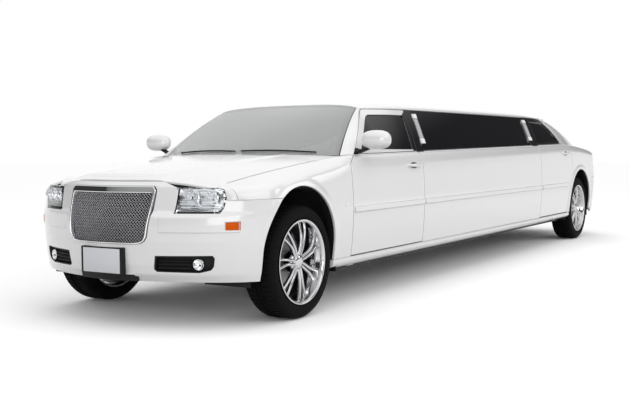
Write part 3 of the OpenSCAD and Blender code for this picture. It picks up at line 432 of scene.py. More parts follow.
LEFT, UP, AHEAD = Vector((0, 1, 0)), Vector((0, 0, 1)), Vector((1, 0, 0))
MIRROR = Matrix.Diagonal((1, -1, 1, 1))
SIDES = (("left", Matrix.Identity(4)), ("right", MIRROR))

# Two steps round the rim of a sheet: turn of the normal, way outwards and way down.
RIM_STEPS = ((0.3, 0.72, 0.28), (1.0, 1.0, 1.0))


def area(loop):
    return sum(p[0] * q[1] - q[0] * p[1] for p, q in zip(loop, loop[1:] + loop[:1])) / 2


def dense(loop, step):
    out = []
    for p, q in zip(loop, loop[1:] + loop[:1]):
        n = max(1, math.ceil(math.hypot(q[0] - p[0], q[1] - p[1]) / step))
        out += [(lerp(p[0], q[0], i / n), lerp(p[1], q[1], i / n)) for i in range(n)]
    return out


def inset(loop, r):
    """Loop moved to its left by r."""
    out = []
    n = len(loop)
    for i, p in enumerate(loop):
        a, b = loop[i - 1], loop[(i + 1) % n]
        e1, e2 = (p[0] - a[0], p[1] - a[1]), (b[0] - p[0], b[1] - p[1])
        l1, l2 = math.hypot(*e1) or 1e-9, math.hypot(*e2) or 1e-9
        n1, n2 = (-e1[1] / l1, e1[0] / l1), (-e2[1] / l2, e2[0] / l2)
        m = (n1[0] + n2[0], n1[1] + n2[1])
        k = math.hypot(*m) or 1e-9
        m = (m[0] / k, m[1] / k)
        f = r / max(0.6, m[0] * n1[0] + m[1] * n1[1])
        out.append((p[0] + m[0] * f, p[1] + m[1] * f))
    return out


def inside(points, loop):
    x, y = points[:, 0], points[:, 1]
    hit = np.zeros(len(points), bool)
    for (x0, y0), (x1, y1) in zip(loop, loop[1:] + loop[:1]):
        cross = (y0 > y) != (y1 > y)
        if cross.any():
            xs = (x1 - x0) * (y - y0) / ((y1 - y0) or 1e-12) + x0
            hit ^= cross & (x < xs)
    return hit


def within(points, loops):
    """Marks the points that lie in the first loop and in none of the others."""
    keep = inside(points, loops[0])
    for loop in loops[1:]:
        keep &= ~inside(points, loop)
    return keep


def wound(outline, holes, step):
    """Outline that runs left and holes that run right, with points no further apart than step."""
    loops = []
    for k, loop in enumerate([outline, *holes]):
        loop = dense(list(loop), step)
        loops.append(loop if (area(loop) > 0) == (k == 0) else loop[::-1])
    return loops


def fill(loops, grid):
    """Points of the loops, then of a grid inside them, and the triangles between all of these."""
    flat = [p for loop in loops for p in loop]
    rim = np.array(flat)
    lo, hi = rim.min(0), rim.max(0)
    nu, nv = (max(2, int(round((hi[k] - lo[k]) / grid[k]))) for k in (0, 1))
    us, vs = np.linspace(lo[0], hi[0], nu + 1), np.linspace(lo[1], hi[1], nv + 1)
    pts = np.array([(u, v) for u in us for v in vs])
    pts = pts[within(pts, loops)]
    if len(pts):
        away = pts[:, None] - rim[None]
        cells = np.min(np.linalg.norm(away * np.array([1 / grid[0], 1 / grid[1]]), axis=2), axis=1)
        near = np.min(np.linalg.norm(away, axis=2), axis=1)
        pts = pts[(cells > 0.45) & (near > 4)]
    edges, start = [], 0
    for loop in loops:
        edges += [(start + i, start + (i + 1) % len(loop)) for i in range(len(loop))]
        start += len(loop)
    coords = [Vector(p) for p in flat] + [Vector(p) for p in pts]
    verts, _, tris, origin, _, _ = geometry.delaunay_2d_cdt(coords, edges, [], 0, 1e-5)
    middles = np.array([sum((verts[i] for i in t), Vector((0, 0))) / 3 for t in tris])
    first = [o[0] if o else None for o in origin]
    tris = [[first[i] for i in t] for t, keep in zip(tris, within(middles, loops)) if keep]
    return coords, [t for t in tris if None not in t]


class Shell:
    """Closed sheets gathered into one mesh, with the normals of the surfaces they follow."""

    def __init__(self):
        self.points, self.normals, self.faces = [], [], []

    def put(self, points, normals, faces):
        base = len(self.points)
        self.points += points
        self.normals += normals
        self.faces += [[base + i for i in f] for f in faces]
        return self

    def sheet(self, outline, surf, back, holes=(), edge=3.0, grid=(40.0, 30.0), step=16.0, face=LEFT):
        """Piece of a surface inside an outline, with round rims and a back; face points outwards."""
        loops = wound(outline, holes, step)
        coords, tris = fill([inset(loop, edge) for loop in loops], grid)

        def frame_at(u, v):
            du = surf(u + 1.0, v) - surf(u - 1.0, v)
            dv = surf(u, v + 1.0) - surf(u, v - 1.0)
            return surf(u, v), du.cross(dv)

        raw = [frame_at(*c) for c in coords]
        total = sum((r[1] for r in raw), Vector())
        sign = 1.0 if total.dot(face) > 0 else -1.0
        spare = total.normalized() * sign
        made = [at for at, _ in raw]
        norm = [(n * sign).normalized() if n.length > 1e-9 else spare for _, n in raw]
        count = len(coords)
        for i in range(count):
            made.append(back(made[i], norm[i], coords[i]))
            norm.append(-norm[i])
        faces = tris + [[count + i for i in reversed(t)] for t in tris]
        start = 0
        for loop in loops:
            n = len(loop)
            ends = []
            for i, p in enumerate(loop):
                at, normal = frame_at(*p)
                normal = (normal * sign).normalized() if normal.length > 1e-9 else norm[start + i]
                out = at - made[start + i]
                ends.append((at, normal, out.normalized() if out.length > 1e-6 else normal))
            rings = [[start + i for i in range(n)]]
            for turn, along, down in RIM_STEPS:
                rings.append([len(made) + i for i in range(n)])
                for i, (at, normal, out) in enumerate(ends):
                    made.append(made[start + i].lerp(at, along) - normal * edge * down)
                    norm.append((normal * (1 - turn) + out).normalized())
            rings.append([count + start + i for i in range(n)])
            for i, (at, normal, out) in enumerate(ends):
                made[count + start + i] = back(at, normal, Vector(loop[i]))
                norm[count + start + i] = out
            for a, b in zip(rings, rings[1:]):
                faces += [[a[i], b[i], b[(i + 1) % n], a[(i + 1) % n]] for i in range(n)]
            start += n
        return self.put(made, norm, faces if sign > 0 else [f[::-1] for f in faces])

    def grid(self, rows, close_u=False, close_v=False):
        """Plain grid of points, closed round where asked; normals come from the mesh."""
        m, n = len(rows), len(rows[0])
        faces = []
        for a in range(m if close_u else m - 1):
            b = (a + 1) % m
            for c in range(n if close_v else n - 1):
                d = (c + 1) % n
                faces.append([a * n + c, b * n + c, b * n + d, a * n + d])
        return self.put([p for r in rows for p in r], [None] * (m * n), faces)

    def cap(self, ring):
        return self.put(ring, [None] * len(ring), [list(range(len(ring)))])

    def bar(self, rings):
        """Closed bar through rings of points."""
        return self.grid(rings, close_v=True).cap(rings[0][::-1]).cap(rings[-1])

    def spin(self, profile, n=96, close=True):
        """Profile of (radius, y) turned round the y axis."""
        rows = [[Vector((r * c, y, r * s)) for r, y in profile] for c, s in circle(n)]
        return self.grid(rows, close_u=True, close_v=close)

    def block(self, x0, x1, y0, y1, z0, z1, r=4.0):
        """Box with rounded edges."""
        corners = ((x1 - r, y1 - r, 0), (x0 + r, y1 - r, 90), (x0 + r, y0 + r, 180), (x1 - r, y0 + r, 270))
        prof = [(cx, cy, math.radians(a + k * 30)) for cx, cy, a in corners for k in range(4)]
        low = [(z0, r), (z0 + 0.3 * r, 0.3 * r), (z0 + r, 0)]
        rings = []
        for z, d in low + [(z0 + z1 - z, d) for z, d in low[::-1]]:
            q = r - d
            rings.append([Vector((cx + q * math.cos(a), cy + q * math.sin(a), z)) for cx, cy, a in prof])
        return self.bar(rings)

    def turned(self, matrix):
        """Copy moved by a matrix in millimetres."""
        out = Shell()
        flip = matrix.determinant() < 0
        turn = matrix.to_3x3().inverted().transposed()
        out.points = [matrix @ p for p in self.points]
        out.normals = [None if k is None else (turn @ k).normalized() for k in self.normals]
        out.faces = [f[::-1] if flip else list(f) for f in self.faces]
        return out

    def add(self, other):
        return self.put(other.points, other.normals, other.faces)

    def both(self):
        return self.add(self.turned(MIRROR))

    def make(self, name, look, sharp=35.0):
        """Object with this mesh and one finish."""
        mesh = bpy.data.meshes.new(name)
        mesh.from_pydata([p * MM for p in self.points], [], self.faces)
        mesh.materials.append(FINISH[look])
        mesh.shade_smooth()
        if any(k is None for k in self.normals):
            mesh.set_sharp_from_angle(angle=math.radians(sharp))
        else:
            mesh.normals_split_custom_set_from_vertices([tuple(k) for k in self.normals])
        mesh.validate()
        obj = bpy.data.objects.new(name, mesh)
        bpy.context.scene.collection.objects.link(obj)
        return obj

    def build(self, name, body, look, *nodes, sharp=35.0):
        """Piece that rides on a body and takes the place of the nodes that it stands for."""
        obj = self.make(name, look, sharp)
        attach(obj, body)
        if nodes:
            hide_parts(*nodes)
        return obj


def circle(n):
    """Cosine and sine of n even steps round a circle."""
    return [(math.cos(2 * math.pi * i / n), math.sin(2 * math.pi * i / n)) for i in range(n)]


def swell(t, power):
    return math.copysign(abs(t) ** power, t)


def span(a, b, n):
    return [lerp(a, b, i / n) for i in range(n + 1)]


def shift_back(t):
    return lambda p, n, c: p - n * t


def shift_in(t):
    return lambda p, n, c: p - Vector((0, t, 0))


def off_side(out):
    """Surface of the left side, moved out."""
    return lambda x, s: side_surf(x, s) + Vector((0, out, 0))


def off_nose(back):
    """Surface of the nose, moved back."""
    return lambda a, z: nose_surf(a, z) - Vector((back, 0, 0))


# Materials

GROUPS, FINISH = {}, {}

DUST_COLOUR = (0.30, 0.28, 0.25, 1)
BUMP_DEPTH = 0.001


def new_group(name, inputs, outputs):
    tree = bpy.data.node_groups.new(name, "ShaderNodeTree")
    for label, value in inputs:
        socket = tree.interface.new_socket(label, in_out="INPUT", socket_type="NodeSocketFloat")
        socket.default_value = value
    for label in outputs:
        tree.interface.new_socket(label, in_out="OUTPUT", socket_type="NodeSocketFloat")
    return tree, tree.nodes.new("NodeGroupInput"), tree.nodes.new("NodeGroupOutput")


def surface_group():
    """Slow change of tone and a fine grain, shared by every finish."""
    tree, put, out = new_group("surface_grain", [("Scale", 4.0), ("Fine Scale", 300.0)], ["Tone", "Height"])
    coord = tree.nodes.new("ShaderNodeTexCoord")
    for socket, goes in (("Scale", "Tone"), ("Fine Scale", "Height")):
        noise = tree.nodes.new("ShaderNodeTexNoise")
        noise.inputs["Detail"].default_value = 3.0
        tree.links.new(coord.outputs["Object"], noise.inputs["Vector"])
        tree.links.new(put.outputs[socket], noise.inputs["Scale"])
        tree.links.new(noise.outputs["Fac"], out.inputs[goes])
    return tree


def dust_group():
    """Road dust that thins out with height above the ground."""
    tree, put, out = new_group("road_dust", [("Top", 0.5), ("Amount", 0.3)], ["Dust"])
    coord = tree.nodes.new("ShaderNodeTexCoord")
    split = tree.nodes.new("ShaderNodeSeparateXYZ")
    noise = tree.nodes.new("ShaderNodeTexNoise")
    noise.inputs["Scale"].default_value = 9.0
    noise.inputs["Detail"].default_value = 5.0
    fall = tree.nodes.new("ShaderNodeMapRange")
    fall.inputs["To Min"].default_value, fall.inputs["To Max"].default_value = 1.0, 0.0
    mul, scale = tree.nodes.new("ShaderNodeMath"), tree.nodes.new("ShaderNodeMath")
    mul.operation = scale.operation = "MULTIPLY"
    link = tree.links.new
    link(coord.outputs["Object"], split.inputs[0])
    link(coord.outputs["Object"], noise.inputs["Vector"])
    link(split.outputs["Z"], fall.inputs["Value"])
    link(put.outputs["Top"], fall.inputs["From Max"])
    link(fall.outputs["Result"], mul.inputs[0])
    link(noise.outputs["Fac"], mul.inputs[1])
    link(mul.outputs[0], scale.inputs[0])
    link(put.outputs["Amount"], scale.inputs[1])
    link(scale.outputs[0], out.inputs["Dust"])
    return tree


def group_node(tree, group, **values):
    node = tree.nodes.new("ShaderNodeGroup")
    node.node_tree = GROUPS[group]
    for label, value in values.items():
        node.inputs[label.replace("_", " ")].default_value = value
    return node


def finish(
    name, colour, rough, metal=0.0, tone=0.06, spread=0.06, scale=4.0, fine=300.0, bump=0.0, dust=0.0,
    top=0.5, **sockets,
):
    """Finish with the shared grain and dust; sockets names other inputs of the shader."""
    mat = bpy.data.materials.new(name)
    mat.use_nodes = True
    tree = mat.node_tree
    shader = tree.nodes["Principled BSDF"]
    link = tree.links.new
    grain = group_node(tree, "grain", Scale=scale, Fine_Scale=fine)
    mix = tree.nodes.new("ShaderNodeMix")
    mix.data_type = "RGBA"
    mix.inputs["A"].default_value = (*colour, 1)
    mix.inputs["B"].default_value = (*[c * (1 - tone) for c in colour], 1)
    link(grain.outputs["Tone"], mix.inputs["Factor"])
    colour_out = mix.outputs["Result"]
    if dust:
        layer = group_node(tree, "dust", Top=top, Amount=dust)
        over = tree.nodes.new("ShaderNodeMix")
        over.data_type = "RGBA"
        over.inputs["B"].default_value = DUST_COLOUR
        link(layer.outputs["Dust"], over.inputs["Factor"])
        link(colour_out, over.inputs["A"])
        colour_out = over.outputs["Result"]
    link(colour_out, shader.inputs["Base Color"])
    sheen = tree.nodes.new("ShaderNodeMapRange")
    sheen.inputs["To Min"].default_value = max(0.0, rough - spread)
    sheen.inputs["To Max"].default_value = rough + spread
    link(grain.outputs["Tone"], sheen.inputs["Value"])
    link(sheen.outputs["Result"], shader.inputs["Roughness"])
    shader.inputs["Metallic"].default_value = metal
    if bump:
        node = tree.nodes.new("ShaderNodeBump")
        node.inputs["Strength"].default_value = bump
        node.inputs["Distance"].default_value = BUMP_DEPTH
        link(grain.outputs["Height"], node.inputs["Height"])
        link(node.outputs["Normal"], shader.inputs["Normal"])
    for label, value in sockets.items():
        shader.inputs[label.replace("_", " ")].default_value = value
    FINISH[name] = mat


def metal_finishes():
    finish("chrome", (0.83, 0.84, 0.85), 0.05, metal=1.0, tone=0.04, spread=0.02)
    finish("wheel_chrome", (0.56, 0.56, 0.57), 0.06, metal=1.0, tone=0.05, spread=0.02)
    finish("bright_trim", (0.72, 0.73, 0.74), 0.16, metal=1.0, tone=0.05, spread=0.04)
    finish("wire_chrome", (0.50, 0.50, 0.52), 0.2, metal=1.0, tone=0.1, spread=0.05)
    finish("cast_iron", (0.10, 0.095, 0.09), 0.55, metal=0.8, tone=0.35, bump=0.35, fine=400.0)
    finish("brushed_disc", (0.20, 0.20, 0.21), 0.3, metal=1.0, tone=0.2, scale=40.0, bump=0.1)
    finish("aluminium", (0.5, 0.5, 0.51), 0.42, metal=1.0, tone=0.15, bump=0.2)
    finish("steel", (0.45, 0.45, 0.45), 0.3, metal=1.0, tone=0.2)
    finish("reflector", (0.90, 0.91, 0.93), 0.22, metal=0.6, tone=0.2, scale=25.0)
    finish("frosted", (0.52, 0.52, 0.52), 0.25, metal=0.5, tone=0.1, Coat_Weight=0.5)


def dark_finishes(looks):
    finish("black_gloss", (0.012, 0.012, 0.014), 0.08, tone=0.2, spread=0.03, Coat_Weight=0.5)
    finish("tinted_glass", tuple(looks.tint), 0.03, tone=0.25, spread=0.01, Specular_IOR_Level=0.4)
    finish("black_plastic", (0.010, 0.010, 0.011), 0.5, tone=0.25, bump=0.25, fine=900.0, dust=0.03,
           Specular_IOR_Level=0.2)
    finish("tyre", (0.006, 0.006, 0.0065), 0.75, tone=0.3, scale=9.0, bump=0.3, fine=700.0, dust=0.012,
           top=0.45, Specular_IOR_Level=0.08)
    finish("underbody", (0.03, 0.03, 0.032), 0.6, tone=0.3, bump=0.2, dust=0.2)
    finish("trim_plastic", (0.045, 0.045, 0.048), 0.55, tone=0.2, bump=0.3, fine=800.0)
    finish("leather", tuple(looks.leather), 0.42, tone=0.3, scale=14.0, bump=0.35, fine=420.0)


def lamp_finishes():
    finish("clear_glass", (0.80, 0.82, 0.82), 0.01, tone=0.03, spread=0.005, IOR=1.6,
           Transmission_Weight=0.72)
    finish("lens", (0.97, 0.98, 0.99), 0.01, tone=0.01, spread=0.005, IOR=1.42, Transmission_Weight=1.0)
    finish("amber_lens", (0.84, 0.12, 0.001), 0.25, tone=0.4, scale=60.0, bump=0.3, fine=500.0,
           Specular_IOR_Level=0.08)
    finish("red_lens", (0.36, 0.008, 0.008), 0.1, tone=0.3, scale=40.0, bump=0.25, fine=450.0,
           Coat_Weight=0.8)


def make_finishes(looks):
    GROUPS["grain"], GROUPS["dust"] = surface_group(), dust_group()
    finish("white_paint", tuple(looks.paint), 0.22, tone=0.015, bump=0.012, dust=0.05, spread=0.02,
           Coat_Weight=1.0, Coat_Roughness=0.1)
    finish("pale_plate", (0.71, 0.72, 0.75), 0.35, tone=0.06, bump=0.04)
    metal_finishes()
    dark_finishes(looks)
    lamp_finishes()


# Geometry Nodes


def repeat_tree():
    """Repeats a piece: copy i is moved by i steps and turned by i turns about the origin."""
    tree = bpy.data.node_groups.new("repeat_piece", "GeometryNodeTree")
    put_in, put_out = tree.nodes.new("NodeGroupInput"), tree.nodes.new("NodeGroupOutput")
    sockets = (
        ("Piece", "NodeSocketObject"),
        ("Count", "NodeSocketInt"),
        ("Step", "NodeSocketVector"),
        ("Turn", "NodeSocketVector"),
        ("Finish", "NodeSocketMaterial"),
    )
    for label, kind in sockets:
        tree.interface.new_socket(label, in_out="INPUT", socket_type=kind)
    tree.interface.new_socket("Geometry", in_out="OUTPUT", socket_type="NodeSocketGeometry")
    points, index = tree.nodes.new("GeometryNodePoints"), tree.nodes.new("GeometryNodeInputIndex")
    info, inst = tree.nodes.new("GeometryNodeObjectInfo"), tree.nodes.new("GeometryNodeInstanceOnPoints")
    move, turn = tree.nodes.new("ShaderNodeVectorMath"), tree.nodes.new("ShaderNodeVectorMath")
    move.operation = turn.operation = "SCALE"
    real, paint = tree.nodes.new("GeometryNodeRealizeInstances"), tree.nodes.new("GeometryNodeSetMaterial")
    link = tree.links.new
    link(put_in.outputs["Count"], points.inputs["Count"])
    link(put_in.outputs["Step"], move.inputs[0])
    link(put_in.outputs["Turn"], turn.inputs[0])
    link(index.outputs[0], move.inputs["Scale"])
    link(index.outputs[0], turn.inputs["Scale"])
    link(move.outputs[0], points.inputs["Position"])
    link(put_in.outputs["Piece"], info.inputs["Object"])
    link(points.outputs[0], inst.inputs["Points"])
    link(info.outputs["Geometry"], inst.inputs["Instance"])
    link(turn.outputs[0], inst.inputs["Rotation"])
    link(inst.outputs[0], real.inputs[0])
    link(real.outputs[0], paint.inputs["Geometry"])
    link(put_in.outputs["Finish"], paint.inputs["Material"])
    link(paint.outputs[0], put_out.inputs[0])
    return tree


def repeated(shell, count, look, step=(0, 0, 0), turn=(0, 0, 0)):
    """Shell of count copies of a piece, made by the repeat tree."""
    if "repeat" not in GROUPS:
        GROUPS["repeat"] = repeat_tree()
    tree = GROUPS["repeat"]
    source = shell.make("repeat_source", look)
    host = bpy.data.objects.new("repeat_host", bpy.data.meshes.new("repeat_host"))
    bpy.context.scene.collection.objects.link(host)
    mod = host.modifiers.new("Repeat", "NODES")
    mod.node_group = tree
    values = {
        "Piece": source,
        "Count": count,
        "Step": [k * MM for k in step],
        "Turn": list(turn),
        "Finish": FINISH[look],
    }
    for item in tree.interface.items_tree:
        if item.in_out == "INPUT":
            mod[item.identifier] = values[item.name]
    bpy.context.view_layer.update()
    graph = bpy.context.evaluated_depsgraph_get()
    mesh = bpy.data.meshes.new_from_object(host.evaluated_get(graph))
    points = [v.co / MM for v in mesh.vertices]
    out = Shell().put(points, [None] * len(points), [list(p.vertices) for p in mesh.polygons])
    for obj in (host, source):
        data = obj.data
        bpy.data.objects.remove(obj)
        bpy.data.meshes.remove(data)
    bpy.data.meshes.remove(mesh)
    return out


def ring_of(shell, count, look):
    """Copies of a piece in even steps round the y axis."""
    return repeated(shell, count, look, turn=(0, 2 * math.pi / count, 0))


# Outlines


def arc(cx, cz, r, a0, a1, n):
    turns = [math.radians(a) for a in span(a0, a1, n)]
    return [(cx + r * math.cos(a), cz + r * math.sin(a)) for a in turns]


def oval(cx, cz, rx, rz, n):
    return [(cx + rx * c, cz + rz * s) for c, s in circle(n)]


def flat_side(points):
    """Points (x, z) of a side view, laid out on the side; z None is the belt."""
    return [(x, S_BELT if z is None else side_s(x, z)) for x, z in points]


def on_line(p, dx=0.0, dz=0.0):
    return (p.x + dx, p.z + dz)


def post_line(x, lean, shares, dx=0.0):
    """Side view of a line up a leaning post from its foot at x."""
    return [on_line(side_pt(x - lean * t, 2 + t), dx) for t in shares]


def rail_line(xs, dx=0.0, dz=0.0):
    """Side view of a line along the edge of the roof."""
    return [on_line(side_pt(x, 3), dx, dz) for x in xs]


def belt_points(a, b, n):
    return [(x, None) for x in span(a, b, n)]


def mirrored(half):
    """Half an outline (y, z), closed by its mirror image."""
    return half + [(-y, z) for y, z in half[::-1]]


def flat_box(u, v, nu, nv=1):
    """Outline of a layout from -u to u across and from 0 to v along."""
    across, along = span(-u, u, nu), span(0, v, nv)[1:-1]
    right, left = [(u, b) for b in along], [(-u, b) for b in along[::-1]]
    return [(a, 0) for a in across] + right + [(a, v) for a in across[::-1]] + left


def front_door_lines():
    """Panel, window frame and glass of a front door, in side view."""
    low = [(F_DOOR_X0 - GAP, DOOR_Z), (F_DOOR_X0 - GAP, BELT_Z - 60), (A_FOOT_X - GAP, None)]
    low += belt_points(F_AXLE - 800, F_DOOR_X1 + 27, 8)
    low += [(F_DOOR_X1 + GAP, BELT_Z - 20), (F_DOOR_X1 + GAP, DOOR_Z)]
    up = [on_line(a_edge(t), -GAP) for t in span(0.0, 0.96, 12)]
    up += rail_line(span(F_AXLE - 1255, F_DOOR_X1 - B_LEAN + 20 + GAP, 4), -GAP, -GAP)
    up += post_line(F_DOOR_X1 + 20, B_LEAN, (0.9, 0.6, 0.3, 0.0))
    hole = [on_line(a_edge(t), -GAP - 95, 8) for t in span(0.1, 0.8, 7)]
    hole += rail_line(span(F_AXLE - 1290, F_DOOR_X1 - 66, 3), 0, -48)
    hole += post_line(F_DOOR_X1 + 64, B_LEAN, (0.8, 0.6, 0.4, 0.2, 0.06))
    return low, up, hole


def rear_door_lines():
    """Panel, window frame and glass of a rear door, in side view."""
    low = [(R_DOOR_X0 - GAP, DOOR_Z), (R_DOOR_X0 - GAP, BELT_Z + 30), (R_DOOR_X0 - 14 - GAP, None)]
    low += belt_points(R_DOOR_X0 - 80, R_AXLE + 592, 6)
    low += [(R_AXLE + 385, BELT_Z + BELT_RISE - 60), (R_AXLE + 330, BELT_Z - 60)]
    low += arc(*REAR_ARCH, ARCH_R + 66 + GAP, 52, 2, 12) + [(R_AXLE + ARCH_R + 72 + GAP, DOOR_Z)]
    up = post_line(R_DOOR_X0 - 14, C_LEAN, (0.0, 0.3, 0.6, 0.96), -GAP)
    up += rail_line((R_DOOR_X0 - 14 - C_LEAN, R_AXLE + 920), 0, -GAP)
    up += [on_line(d_edge(t), GAP * (1.75 - t), -0.9 * GAP) for t in span(0.96, 0.05, 12)]
    hole = post_line(R_DOOR_X0 - 62, C_LEAN, span(0.06, 0.86, 4))
    hole += rail_line((R_DOOR_X0 - 62 - C_LEAN, R_AXLE + 810), 0, -48)
    hole += [on_line(d_edge(t), 56, -12) for t in span(0.62, 0.12, 8)]
    return low, up, hole


def strip_lines(a, b, n):
    """Side strip from a to b, laid out on the side."""
    sizes = bpy.context.scene.limo_sizes
    low, high = sizes.strip_low / MM, sizes.strip_high / MM
    return flat_side([(x, low) for x in span(a, b, n)] + [(x, high) for x in span(b, a, n)])


def lamp_lines():
    i, o, z = LAMP_IN, LAMP_OUT, NOSE_Z - 157
    outer = [(o - 24, z), (o - 4, z + 35), (o, z + 88), (o - 16, z + 136), (o - 46, z + 150)]
    return [(i, z), *outer, (i + 12, z + 149)]


def fog_lines():
    i, o = GRILLE_TOP_W, HALF_W - 243
    outer = [(o - 90, 350), (o - 26, 366), (o - 8, 388), (o, 438), (o - 10, 454)]
    return [(i + 6, 450), (i - 8, 368), (i + 8, 353), *outer]


def marker_lines():
    i, o, z = HALF_W - 182, HALF_W - 114, NOSE_Z - 256
    return [(i, z), (o, z + 1), (o, z + 47), (i, z + 45)]


def grille_lines(d):
    low, high, top = GRILLE_LOW_W - d, GRILLE_TOP_W - d, NOSE_Z + 10
    corner = [(low - 60, 512 + d), (low - 18, 518 + d), (low + 8, 534 + 0.6 * d), (low + 24, 566)]
    return mirrored([*corner, (high, top - 32), (high - 18, top - d)])


# Properties


class LimoSizes(bpy.types.PropertyGroup):
    """Sizes of the details"""

    arch_lip: bpy.props.FloatProperty(
        name="Arch lip", description="Stand of the lips round the arches", default=0.006, unit="LENGTH"
    )
    hood_rise: bpy.props.FloatProperty(
        name="Hood rise", description="Height of the raised middle of the hood", default=0.007, unit="LENGTH"
    )
    spoke_pairs: bpy.props.IntProperty(
        name="Spoke pairs", description="Pairs of spokes in a wheel", default=7
    )
    tread_blocks: bpy.props.IntProperty(
        name="Tread blocks", description="Blocks round a tyre", default=64
    )
    mesh_pitch: bpy.props.FloatProperty(
        name="Mesh pitch", description="Spacing of the grille wires", default=0.020, unit="LENGTH"
    )
    strip_low: bpy.props.FloatProperty(
        name="Strip bottom", description="Lower edge of the side strip", default=0.643, unit="LENGTH"
    )
    strip_high: bpy.props.FloatProperty(
        name="Strip top", description="Upper edge of the side strip", default=0.685, unit="LENGTH"
    )


class LimoLooks(bpy.types.PropertyGroup):
    """Colours of the finishes"""

    paint: bpy.props.FloatVectorProperty(
        name="Paint", description="Body colour", default=(0.80, 0.80, 0.80), subtype="COLOR"
    )
    tint: bpy.props.FloatVectorProperty(
        name="Tint", description="Colour of the dark glass", default=(0.010, 0.010, 0.012), subtype="COLOR"
    )
    leather: bpy.props.FloatVectorProperty(
        name="Leather", description="Colour of the seats", default=(0.035, 0.034, 0.036), subtype="COLOR"
    )
    floor: bpy.props.FloatVectorProperty(
        name="Floor", description="Colour of the studio floor", default=(1.12, 1.12, 1.12), max=2.0,
        subtype="COLOR",
    )
    bounce: bpy.props.FloatVectorProperty(
        name="Bounce", description="Tone of the floor in the light that it throws back",
        default=(0.25, 0.25, 0.25), subtype="COLOR",
    )


# Side panels


def fender_corner(a, b):
    """Nose end of a fender, from its front edge to the rim of the headlamp."""
    k, u = a / 60.0, b / 130.0
    o = LAMP_OUT
    rim = [(o + 3, SEAM_Z + 0.5), (o + 2, NOSE_Z - 60), (o - 13, NOSE_Z - 16), (o - 46, NOSE_Z - 3)]
    edge = side_surf(FENDER_X, lerp(side_s(FENDER_X, SEAM_Z + 0.5), S_BELT, u))
    i = min(int(u * 3), 2)
    y, z = (lerp(p, q, u * 3 - i) for p, q in zip(rim[i], rim[i + 1]))
    return edge.lerp(nose_spot(y, z), k) + Vector((5, 5, 0)) * (4 * k * (1 - k) * (1 - u))


def fender_skin():
    cx, cz = FRONT_ARCH
    lip = math.degrees(math.asin((SEAM_Z + 0.5 - cz) / ARCH_R))
    line = [(F_DOOR_X0, LOW_Z), (cx - ARCH_R, LOW_Z)] + arc(cx, cz, ARCH_R, 180, lip, 40)
    line += [(F_AXLE + 400, SEAM_Z + 0.5), (FENDER_X, SEAM_Z + 0.5)] + belt_points(FENDER_X, A_FOOT_X + 5, 30)
    line += [(F_DOOR_X0, BELT_Z - 56)]
    skin = Shell().sheet(flat_side(line), side_surf, shift_back(SKIN_T), grid=(15, 13), step=12)
    box = [(1, 0), (60, 0), (60, 130), (1, 130)]
    return skin.sheet(
        box, fender_corner, shift_back(SKIN_T), grid=(8, 10), step=8, edge=2.0, face=Vector((1, 1, 0))
    )


def stretched_side():
    line = [(x, LOW_Z) for x in span(R_DOOR_X0, F_DOOR_X1, 12)] + belt_points(F_DOOR_X1, R_DOOR_X0, 12)
    return Shell().sheet(flat_side(line), side_surf, shift_in(60), grid=(90, 26), step=30)


def quarter_skin():
    seam, end = TAIL_SEAM_Z + 0.5, REAR + 346
    line = [(TAIL_X0 + 1, seam), (TAIL_X0 + 1, LOW_Z), (R_AXLE - ARCH_R, LOW_Z)]
    line += arc(*REAR_ARCH, ARCH_R, 180, 0, 48)
    line += [(R_AXLE + ARCH_R, LOW_Z), (R_AXLE + ARCH_R + 72, LOW_Z)]
    line += arc(*REAR_ARCH, ARCH_R + 66, 2, 52, 12)
    line += [(R_AXLE + 330 - GAP, BELT_Z - 60), (R_AXLE + 385 - GAP, BELT_Z + BELT_RISE - 60)]
    line += belt_points(R_AXLE + 576, end, 28) + [(end, seam)]
    return Shell().sheet(flat_side(line), side_surf, shift_back(SKIN_T), grid=(15, 13), step=12)


def sill():
    """Sill with its ends beside the wheel arches and its two jack pads."""
    y, top = HALF_W - LOW_BOW, DOOR_Z - GAP
    low, inner = 276, 800
    curve = [(y - 12, 290), (y - 2, 304), (y + 2, 318), (y + 1, 330), (y - 3, top)]
    main = [(inner, low), (y - 38, low), (y - 26, 279), *curve, (inner, top)]
    ends = [(y - 27, 284), *curve, (y - 27, top)]
    x0, x1 = R_AXLE + WELL_R + 24, F_AXLE - WELL_R - 24
    out = Shell()
    runs = ((x0, x1, main), (FRONT_ARCH[0] - ARCH_R, x1 - 1, ends), (R_AXLE + ARCH_R, x0 + 1, ends))
    for a, b, prof in runs:
        out.bar([[Vector((x, *p)) for p in prof] for x in sorted((a, b))])
    for x in (F_AXLE - 720, R_AXLE + 720):
        out.block(x - 40, x + 40, 810, 850, 262, 282, 3)
    return out


def arch_returns():
    """Black lips behind the edges of the wheel arches."""
    out = Shell()
    for cx, cz in (FRONT_ARCH, REAR_ARCH):
        rings = []
        for stand, depth in ((2, 13), (6, 13), (6, 52), (66, 52), (66, 56), (2, 56)):
            r = ARCH_R + stand
            way = [(cx - r, 300), (cx - r, 375)] + arc(cx, cz, r, 180, 0, 40) + [(cx + r, 375), (cx + r, 300)]
            rings.append([Vector((x, plan_y(x) - bow(x, z) - depth, z)) for x, z in way])
        out.bar([list(row) for row in zip(*rings)])
    return out


